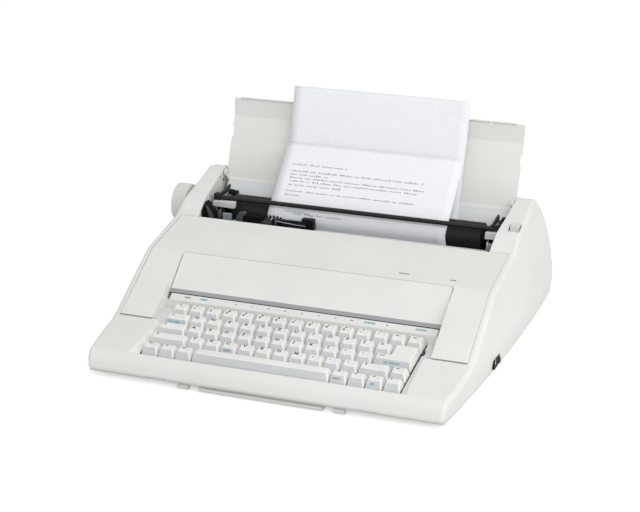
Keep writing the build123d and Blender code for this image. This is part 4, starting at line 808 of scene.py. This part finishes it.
def print_labels(name, spans, half_height, material):
    """Printed marks on the label strip, each between two places across it."""
    build(name, [
        (rectangle(x_from, x_to, label_v - half_height, label_v + half_height), label_plane, -0.05, 0.07)
        for x_from, x_to in spans
    ], material, "case")


print_labels("blue_labels", blue_labels, 1.1, blue_ink)
print_labels("grey_labels", [(x - grey_label_half, x + grey_label_half) for x in grey_labels], 0.75, grey_ink_and_edge_light)

# The keyboard well's side walls, up to the cover's strips
well_wall = [(77.0, 30.0), (118.0, 36.0), (118.0, 52.0), (100.0, 48.0), (80.0, 38.6)]
well_half = 151.7
wall_thickness = 0.7
label_strip_half = 148.65
build("well_walls", [
    (well_wall, side_plane(-well_half - wall_thickness), 0, wall_thickness),
    (well_wall, side_plane(well_half), 0, wall_thickness),
    (rectangle(-well_half, -label_strip_half, 36.0, 48.2), upright_plane(115.9), 0, 1.2),
    (rectangle(label_strip_half, well_half, 36.0, 48.2), upright_plane(115.9), 0, 1.2),
], finishes["keyboard_plastic"], "case", 0.1)

# Painted shade: dark strips in the gaps round the keys, where deep gaps lie in shadow, and a small dark latch
# beside them
gap_shade_low = -4.9
gap_shade_high = -0.9
gap_shade_sides = (rectangle(138.3, 140.2, 0.4, 92.0), rectangle(-140.0, -138.5, 0.4, 92.0))
gap_shade_front = rectangle(-138.5, 138.5, -0.7, 0.2)
latch_outline = [(140.3, 69.0), (141.8, 71.0), (142.4, 75.0), (141.4, 80.0), (140.3, 80.6)]
build("key_gap_shade", [
    (outline, keyboard_plane, gap_shade_low, gap_shade_high) for outline in (*gap_shade_sides, gap_shade_front)
], dark_plastic_and_shade, "case")
build("side_latch", [
    (latch_outline, keyboard_plane, -0.3, 0.15),
], dark_plastic_and_shade, "case", 0.1)

# The panel's darker lower edge, and a dark strip under it: a painted shadow in the gap between the panel and
# the label strip
panel_half = 151.4
edge_half = panel_half - 0.3
shadow_half = panel_half - 0.6
lip_plane = slope_plane(122.6, 53.4, 126.5, 56.2)
lip_length = 5.3
build("panel_edge", [
    (rectangle(-edge_half, edge_half, 0.2, lip_length), lip_plane, -0.3, 0.28),
], edge_plastic, "cover", 0.2)
build("panel_painted_shadow", [
    (rectangle(-shadow_half, shadow_half, -0.9, 0.25), lip_plane, -0.6, 0.12),
], dark_plastic_and_shade, "cover", 0.1)

# Two plain strokes printed on the cover
cover_plane = slope_plane(162.4, 86.4, 241.0, 100.4)
build("cover_strokes", [
    (rectangle(88.9, 100.6, 11.8, 13.0), cover_plane, -0.05, 0.07),
    (rectangle(144.5, 151.4, 10.6, 11.8), cover_plane, -0.05, 0.07),
], legend_ink, "cover")

# Bail: pale covers on the arms, black blocks at the bar's ends
build("bail_covers", [
    ([(-166.4, 103.0), (-139.2, 102.4), (-138.2, 110.6), (-165.4, 109.4)], upright_plane(279.6), 0, 5.6),
    ([(154.8, 102.0), (168.2, 102.2), (168.0, 110.4), (155.2, 110.0)], upright_plane(279.6), 0, 5.6),
], pale_plastic, "bail", 0.8)
bail_block = [(279.0, 108.6), (287.2, 109.4), (287.4, 116.4), (279.6, 116.6)]
build("bail_blocks", [
    (bail_block, side_plane(-166.9), 0, 9.0),
    (bail_block, side_plane(162.2), 0, 6.6),
], finishes["black_plastic"], "bail", 1.4)

# The deck behind the platen reaches up to the open lid
deck_half = 169.4
deck_profile = [(325.4, 111.8), (327.0, 111.4), (332.3, 118.9), (331.2, 119.6)]
# The back strip takes a darker copy of the deck's plastic: painted shade, so that its up-facing slope looks
# no lighter than the deck
build("deck_back", [
    (deck_profile, side_plane(-deck_half), 0, 2 * deck_half),
], deck_back_painted_shade, "case", 0.3)

# Black hinge pieces behind the platen's ends
build("hinge_blocks", [
    ([(312.4, 103.8), (320.5, 105.0), (320.8, 109.0), (316.2, 112.2), (312.6, 109.4)],
     side_plane(-162.6), 0, 5.6),
    ([(313.4, 101.8), (319.0, 103.0), (319.0, 110.6), (313.6, 108.4)], side_plane(-156.6), 0, 5.0),
    ([(317.0, 104.4), (325.0, 107.0), (325.4, 113.0), (318.2, 112.8)], side_plane(162.4), 0, 6.0),
], dark_plastic_and_shade, "case", 0.6)

# Small grey marks on the left cheek's inner wall
build("wall_marks", [
    ([(314.6, 125.2), (317.4, 124.0), (317.8, 125.0), (315.2, 126.4)], side_plane(-174.6), 0, 0.9),
    ([(324.4, 121.4), (326.6, 120.2), (327.4, 118.2), (326.0, 118.0), (324.2, 119.8)],
     side_plane(-175.0), 0, 0.9),
], grey_plastic, "case", 0.1)

# Black bracket, with blue-grey and slate pieces on it, beside the carriage's left end
bracket_side = [
    (249.4, 97.0), (249.6, 104.6), (256.0, 108.6), (262.0, 111.6), (270.0, 111.4), (277.7, 105.4),
    (280.0, 89.0), (262.0, 89.0),
]
bracket_front = [
    (-168.6, 88.0), (-134.4, 88.0), (-134.4, 96.6), (-147.6, 97.0), (-152.4, 102.3), (-157.3, 108.4),
    (-163.0, 110.8), (-168.6, 109.6),
]
slate_blade = [
    (-167.0, 108.4), (-165.4, 108.4), (-161.8, 104.4), (-158.6, 98.6), (-157.2, 94.6), (-162.4, 93.8),
    (-164.4, 99.6), (-166.2, 104.2),
]
build("left_bracket", [
    (bracket_side, side_plane(-169.7), 0, 1.4),
    (bracket_front, upright_plane(259.4), 0, 1.6),
], dark_plastic_and_shade, "case", 0.4)
build("left_blue_pieces", [
    (rectangle(-145.2, -135.2, 95.4, 102.8), upright_plane(258.0), 0, 4.0),
], blue_grey_plastic, "case", 0.5)
build("left_slate_pieces", [
    (rectangle(-151.6, -147.6, 96.6, 103.2), upright_plane(257.6), 0, 2.4),
    (slate_blade, upright_plane(257.7), 0, 1.0),
], slate_plastic, "case", 0.4)
build("right_blue_piece", [
    ([(162.6, 95.4), (170.0, 95.6), (170.0, 103.4), (163.2, 103.8)], upright_plane(259.0), 0, 3.0),
], blue_grey_plastic, "case", 0.5)

# On the carriage: a lever, a bright strip and a small slate tab
lever_outline = [
    (-135.4, 89.0), (-135.4, 94.4), (-131.6, 100.4), (-124.3, 102.4), (-123.0, 100.2), (-127.7, 95.2),
    (-128.1, 89.0),
]
strip_outline = [
    (-88.0, 93.7), (-80.8, 92.2), (-68.7, 91.6), (-50.6, 91.4), (-50.6, 94.0), (-62.6, 94.3), (-80.8, 95.7),
    (-88.0, 96.1),
]
tab_outline = [(-88.4, 92.0), (-85.2, 92.0), (-85.8, 97.0), (-87.4, 97.0)]
build("carriage_lever", [
    (lever_outline, upright_plane(272.4), 0, 3.2),
], grey_plastic, "carriage", 0.5)
build("carriage_strip", [
    (strip_outline, upright_plane(272.2), 0, 3.4),
], finishes["bright_steel"], "carriage", 0.3)
build("carriage_tab", [
    (tab_outline, upright_plane(272.2), 0, 4.6),
], slate_plastic, "carriage", 0.4)

# The rocker's white mark
build("rocker_mark", [
    (rectangle(143.2, 145.8, 14.2, 19.4), side_plane(203.05), 0, 0.12),
], white_ink, "rocker")

# The release lever's dust shutter, round its pivot
release_x = 187.0
shutter_half = 7.4
release_pivot = (279.0, 98.0)


def ring_part(centre, radius_from, radius_to, angle_from, angle_to, steps):
    """An outline between two arcs round a centre."""
    points = []
    for radius, start, end in ((radius_to, angle_from, angle_to), (radius_from, angle_to, angle_from)):
        for i in range(steps + 1):
            angle = math.radians(start + (end - start) * i / steps)
            points.append((centre[0] + radius * math.cos(angle), centre[1] + radius * math.sin(angle)))
    return points


build("release_shutter", [
    (ring_part(release_pivot, 15.0, 16.1, 44.0, 126.0, 16), side_plane(release_x - shutter_half), 0,
     2 * shutter_half),
], pale_plastic, "release", 0.2)

# Paper: the part in front of the platen, the turn under it and the part behind it
paper_half_width = 105.0
paper_middle_x = 7.0
paper_radius = 17.0
paper_thickness = 0.3
sheet_length = 290.0
platen_axis = (platen_axis_y, 95.0)
# The front part's top edge and its bow, the angle where the rear part leaves the platen, and its bend
front_top = (338.0, 169.0)
front_bow = 0.9
leave_angle = -20.0
back_turn = 3.0
front_curl = -0.8
rear_curl = 2.4
# The sheet was wound in a little askew: how far it lies to the side at the platen's front, lower and behind
platen_drift = -3.0
lowest_drift = -3.8
rear_start_drift = -0.8
lowest_share = 0.15


def around_platen(radius, angle):
    """A place at a distance from the platen's axis, back and up."""
    return (
        platen_axis[0] + radius * math.cos(math.radians(angle)),
        platen_axis[1] + radius * math.sin(math.radians(angle)),
    )


front_reach = math.dist(platen_axis, front_top)
front_angle = math.degrees(
    math.atan2(front_top[1] - platen_axis[1], front_top[0] - platen_axis[0])
    + math.acos(paper_radius / front_reach)
)
front_leave = around_platen(paper_radius, front_angle)
front_length = math.dist(front_leave, front_top)
wrap_turn = 360 + leave_angle - front_angle
rear_length = sheet_length - front_length - math.radians(wrap_turn) * paper_radius


def front_point(share):
    """Along the front part, with a slight bow."""
    bow = front_bow * math.sin(math.pi * share)
    y = front_leave[0] + (front_top[0] - front_leave[0]) * share
    z = front_leave[1] + (front_top[1] - front_leave[1]) * share
    back = ((front_top[1] - front_leave[1]) / front_length, -(front_top[0] - front_leave[0]) / front_length)
    return (y + back[0] * bow, z + back[1] * bow)


def wrap_point(share):
    """Round the platen."""
    return around_platen(paper_radius, front_angle + wrap_turn * share)


def rear_point(share):
    """Along the bowed part behind the platen."""
    bow_radius = rear_length / math.radians(back_turn)
    start = around_platen(paper_radius, leave_angle)
    centre = (
        start[0] - bow_radius * math.cos(math.radians(leave_angle)),
        start[1] - bow_radius * math.sin(math.radians(leave_angle)),
    )
    angle = math.radians(leave_angle + share * back_turn)
    return (centre[0] + bow_radius * math.cos(angle), centre[1] + bow_radius * math.sin(angle))


def sheet_part(name, point, steps, curl, drift):
    """One part of the sheet, as a grid along its line, curled at its far corners and drifting sideways."""
    across_steps = 20
    form = bmesh.new()
    rows = []
    for i in range(steps + 1):
        share = i / steps
        y, z = point(share)
        row = []
        for k in range(across_steps + 1):
            across = 2 * k / across_steps - 1
            x = paper_middle_x + drift(share) + paper_half_width * across
            lift = curl * share * share * across ** 4
            row.append(form.verts.new(place(x, y - lift, z)))
        rows.append(row)
    for low, high in zip(rows, rows[1:]):
        for k in range(across_steps):
            form.faces.new((low[k], low[k + 1], high[k + 1], high[k]))
    mesh = mesh_of(form, name, closed=False)
    piece = add_piece(name, mesh, finishes["paper_white"], "case")
    thick = piece.modifiers.new("thickness", "SOLIDIFY")
    thick.thickness = paper_thickness * MM
    thick.offset = 0.0
    smooth(piece)
    return piece


def front_drift(share):
    """The front part leans to the left lower down."""
    return platen_drift * (1 - share)


def wrap_drift(share):
    """Round the platen the sheet leans on to its lowest place, and back behind."""
    if share < lowest_share:
        return platen_drift + (lowest_drift - platen_drift) * share / lowest_share
    return lowest_drift + (rear_start_drift - lowest_drift) * (share - lowest_share) / (1 - lowest_share)


def rear_drift(share):
    """The rear part comes back to the middle at its top."""
    return rear_start_drift * (1 - share)


def applied(piece):
    """Makes a piece's modifiers part of its mesh."""
    graph = bpy.context.evaluated_depsgraph_get()
    bpy.context.view_layer.update()
    mesh = bpy.data.meshes.new_from_object(piece.evaluated_get(graph))
    piece.modifiers.clear()
    piece.data = mesh
    return piece


# Typed lines: where each starts and ends across the sheet, and how far it lies below the top edge
typed_lines = [
    (-85.5, -20.0, 26.0), (-85.0, 72.2, 34.2), (-85.2, -41.4, 38.6), (-85.1, 74.1, 42.6), (-85.0, 65.2, 46.8),
    (-85.3, -23.3, 51.6), (-85.8, 65.9, 59.2), (-86.3, -70.3, 64.2),
]
typed_pitch = 2.54
stroke_height = 1.5
# One more line lies on the platen, at this angle round it
drum_angle = 155.8
front_plane = slope_plane(*front_leave, *front_top)


def typed_strokes(x_from, x_to, v, matrix, low, high, chance):
    """A line of plain strokes in word-long groups, with no letters in it."""
    strokes = []
    x = x_from
    while x < x_to:
        for _ in range(chance.randint(2, 9)):
            if x > x_to:
                break
            tall = stroke_height * chance.choice((0.7, 0.7, 0.7, 1.15))
            wide = typed_pitch * chance.choice((0.5, 0.62, 0.7))
            strokes.append((rectangle(x, x + wide, v, v + tall), matrix, low, high))
            x += typed_pitch
        x += typed_pitch
    return strokes


chance = random.Random(7)
typed = []
for x_from, x_to, below in typed_lines:
    v = front_length - below
    bow = front_bow * math.sin(math.pi * v / front_length)
    typed += typed_strokes(x_from, x_to, v, front_plane, 0.13 - bow, 0.21 - bow, chance)
drum_y, drum_z = around_platen(paper_radius, drum_angle)
drum_up = (0, math.sin(math.radians(drum_angle)), -math.cos(math.radians(drum_angle)))
drum_plane = plane((0, drum_y, drum_z), (1, 0, 0), drum_up)
drum_strokes = typed_strokes(-70.8, -12.8, -0.7, drum_plane, 0.1, 0.22, chance)

front_part = applied(sheet_part("sheet_front", front_point, 16, front_curl, front_drift))
wrap_part = sheet_part("sheet_turn", wrap_point, 40, 0.0, wrap_drift)
rear_part = applied(sheet_part("sheet_rear", rear_point, 24, rear_curl, rear_drift))
typed_part = build("typed_lines", typed, typed_ink, "case")
build("typed_line_below", drum_strokes, typed_ink, "case")
# The sheet's standing parts each get a mesh of their own
for part in (front_part, rear_part, typed_part):
    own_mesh(part)
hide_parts("paper_sheet")

# A thin grey line painted on the clear card holder's rounded edge, where that edge catches the light: painted
# light
card_front_y = 281.4
card_corner = (-59.0, 88.0)
build("card_edge_light", [
    (ring_part(card_corner, 17.2, 17.9, 12.0, 90.0, 14), upright_plane(card_front_y), 0.0, 0.12),
    (rectangle(-80.0, -59.0, 105.2, 105.9), upright_plane(card_front_y), 0.0, 0.12),
], grey_ink_and_edge_light, "carriage")

# Floor, lights and camera
backdrop_white = (0.72, 0.72, 0.72, 1)
pure_white = (1, 1, 1, 1)
floor_glow = 0.52
floor_half = 6.0
world_strength = 0.62
light_target = (0, 0, 0.1)
# Each light's place, size and power
lights = {
    "side_light": ((1.5, -0.3, 1.1), 1.4, 10),
    "front_light": ((0.9, -2.2, 1.5), 1.6, 21),
}
camera_azimuth = math.radians(19.633)
camera_elevation = math.radians(19.518)
camera_roll = math.radians(0.437)
camera_place = (549.30, -1362.76, 674.82)
focal_pixels = 1628.77
picture_width = 640


def seen_directly(tree):
    """One where the camera sees a thing itself, or in a reflection or through glass, and otherwise nought."""
    path = tree.nodes.new("ShaderNodeLightPath")
    total = None
    for ray in ("Is Camera Ray", "Is Glossy Ray", "Is Transmission Ray"):
        if total is None:
            total = path.outputs[ray]
            continue
        both = tree.nodes.new("ShaderNodeMath")
        both.operation = "ADD"
        both.use_clamp = True
        tree.links.new(total, both.inputs[0])
        tree.links.new(path.outputs[ray], both.inputs[1])
        total = both.outputs["Value"]
    return both


def backdrop_material():
    """A pale floor that the camera and reflections see as white, apart from shadows."""
    n = Nodes("backdrop")
    n.set(Base_Color=backdrop_white, Roughness=0.9, Specular_IOR_Level=0.1, Emission_Color=pure_white)
    seen = seen_directly(n.tree)
    glow = n.add("ShaderNodeMath")
    glow.operation = "MULTIPLY"
    glow.inputs[1].default_value = floor_glow
    n.join(seen, "Value", glow, 0)
    n.join(glow, "Value", n.shader, "Emission Strength")
    return n.material


def add_floor():
    """A pale floor that reaches far beyond the picture."""
    mesh = bpy.data.meshes.new("floor")
    corners = [(u, v, 0) for u, v in rectangle(-floor_half, floor_half, -floor_half, floor_half)]
    mesh.from_pydata(corners, [], [(0, 1, 2, 3)])
    floor = bpy.data.objects.new("floor", mesh)
    bpy.context.scene.collection.objects.link(floor)
    floor.data.materials.append(backdrop_material())


def add_world():
    """Even light from all round, seen as plain white."""
    world = bpy.data.worlds.new("studio")
    bpy.context.scene.world = world
    world.use_nodes = True
    background = world.node_tree.nodes["Background"]
    background.inputs["Color"].default_value = pure_white
    background.inputs["Strength"].default_value = world_strength
    seen = world.node_tree.nodes.new("ShaderNodeBackground")
    seen.inputs["Color"].default_value = pure_white
    seen.inputs["Strength"].default_value = 1.0
    mix = world.node_tree.nodes.new("ShaderNodeMixShader")
    output = world.node_tree.nodes["World Output"]
    links = world.node_tree.links
    links.new(seen_directly(world.node_tree).outputs["Value"], mix.inputs["Fac"])
    links.new(background.outputs["Background"], mix.inputs[1])
    links.new(seen.outputs["Background"], mix.inputs[2])
    links.new(mix.outputs["Shader"], output.inputs["Surface"])


def add_light(name, position, size, power):
    """A soft square light turned to the machine."""
    data = bpy.data.lights.new(name, "AREA")
    data.shape = "SQUARE"
    data.size = size
    data.energy = power
    light = bpy.data.objects.new(name, data)
    light.location = position
    light.rotation_euler = (Vector(light_target) - Vector(position)).to_track_quat("-Z", "Y").to_euler()
    bpy.context.scene.collection.objects.link(light)


def add_camera():
    """The camera where the photograph was taken from."""
    data = bpy.data.cameras.new("camera")
    data.sensor_width = 36.0
    data.lens = data.sensor_width * focal_pixels / picture_width
    data.clip_end = 50.0
    camera = bpy.data.objects.new("camera", data)
    back = Vector((
        math.sin(camera_azimuth) * math.cos(camera_elevation),
        -math.cos(camera_azimuth) * math.cos(camera_elevation),
        math.sin(camera_elevation),
    ))
    right = (-back).cross(Vector((0, 0, 1))).normalized()
    up = right.cross(-back)
    turned_right = right * math.cos(camera_roll) + up * math.sin(camera_roll)
    turned_up = up * math.cos(camera_roll) - right * math.sin(camera_roll)
    axes = Matrix((turned_right, turned_up, back)).transposed().to_4x4()
    camera.matrix_world = Matrix.Translation(place(*camera_place)) @ axes
    bpy.context.scene.collection.objects.link(camera)
    bpy.context.scene.camera = camera


add_floor()
add_world()
for light_name, (light_place, light_size, light_power) in lights.items():
    add_light(light_name, light_place, light_size, light_power)
add_camera()
bpy.context.scene.view_settings.view_transform = "Standard"
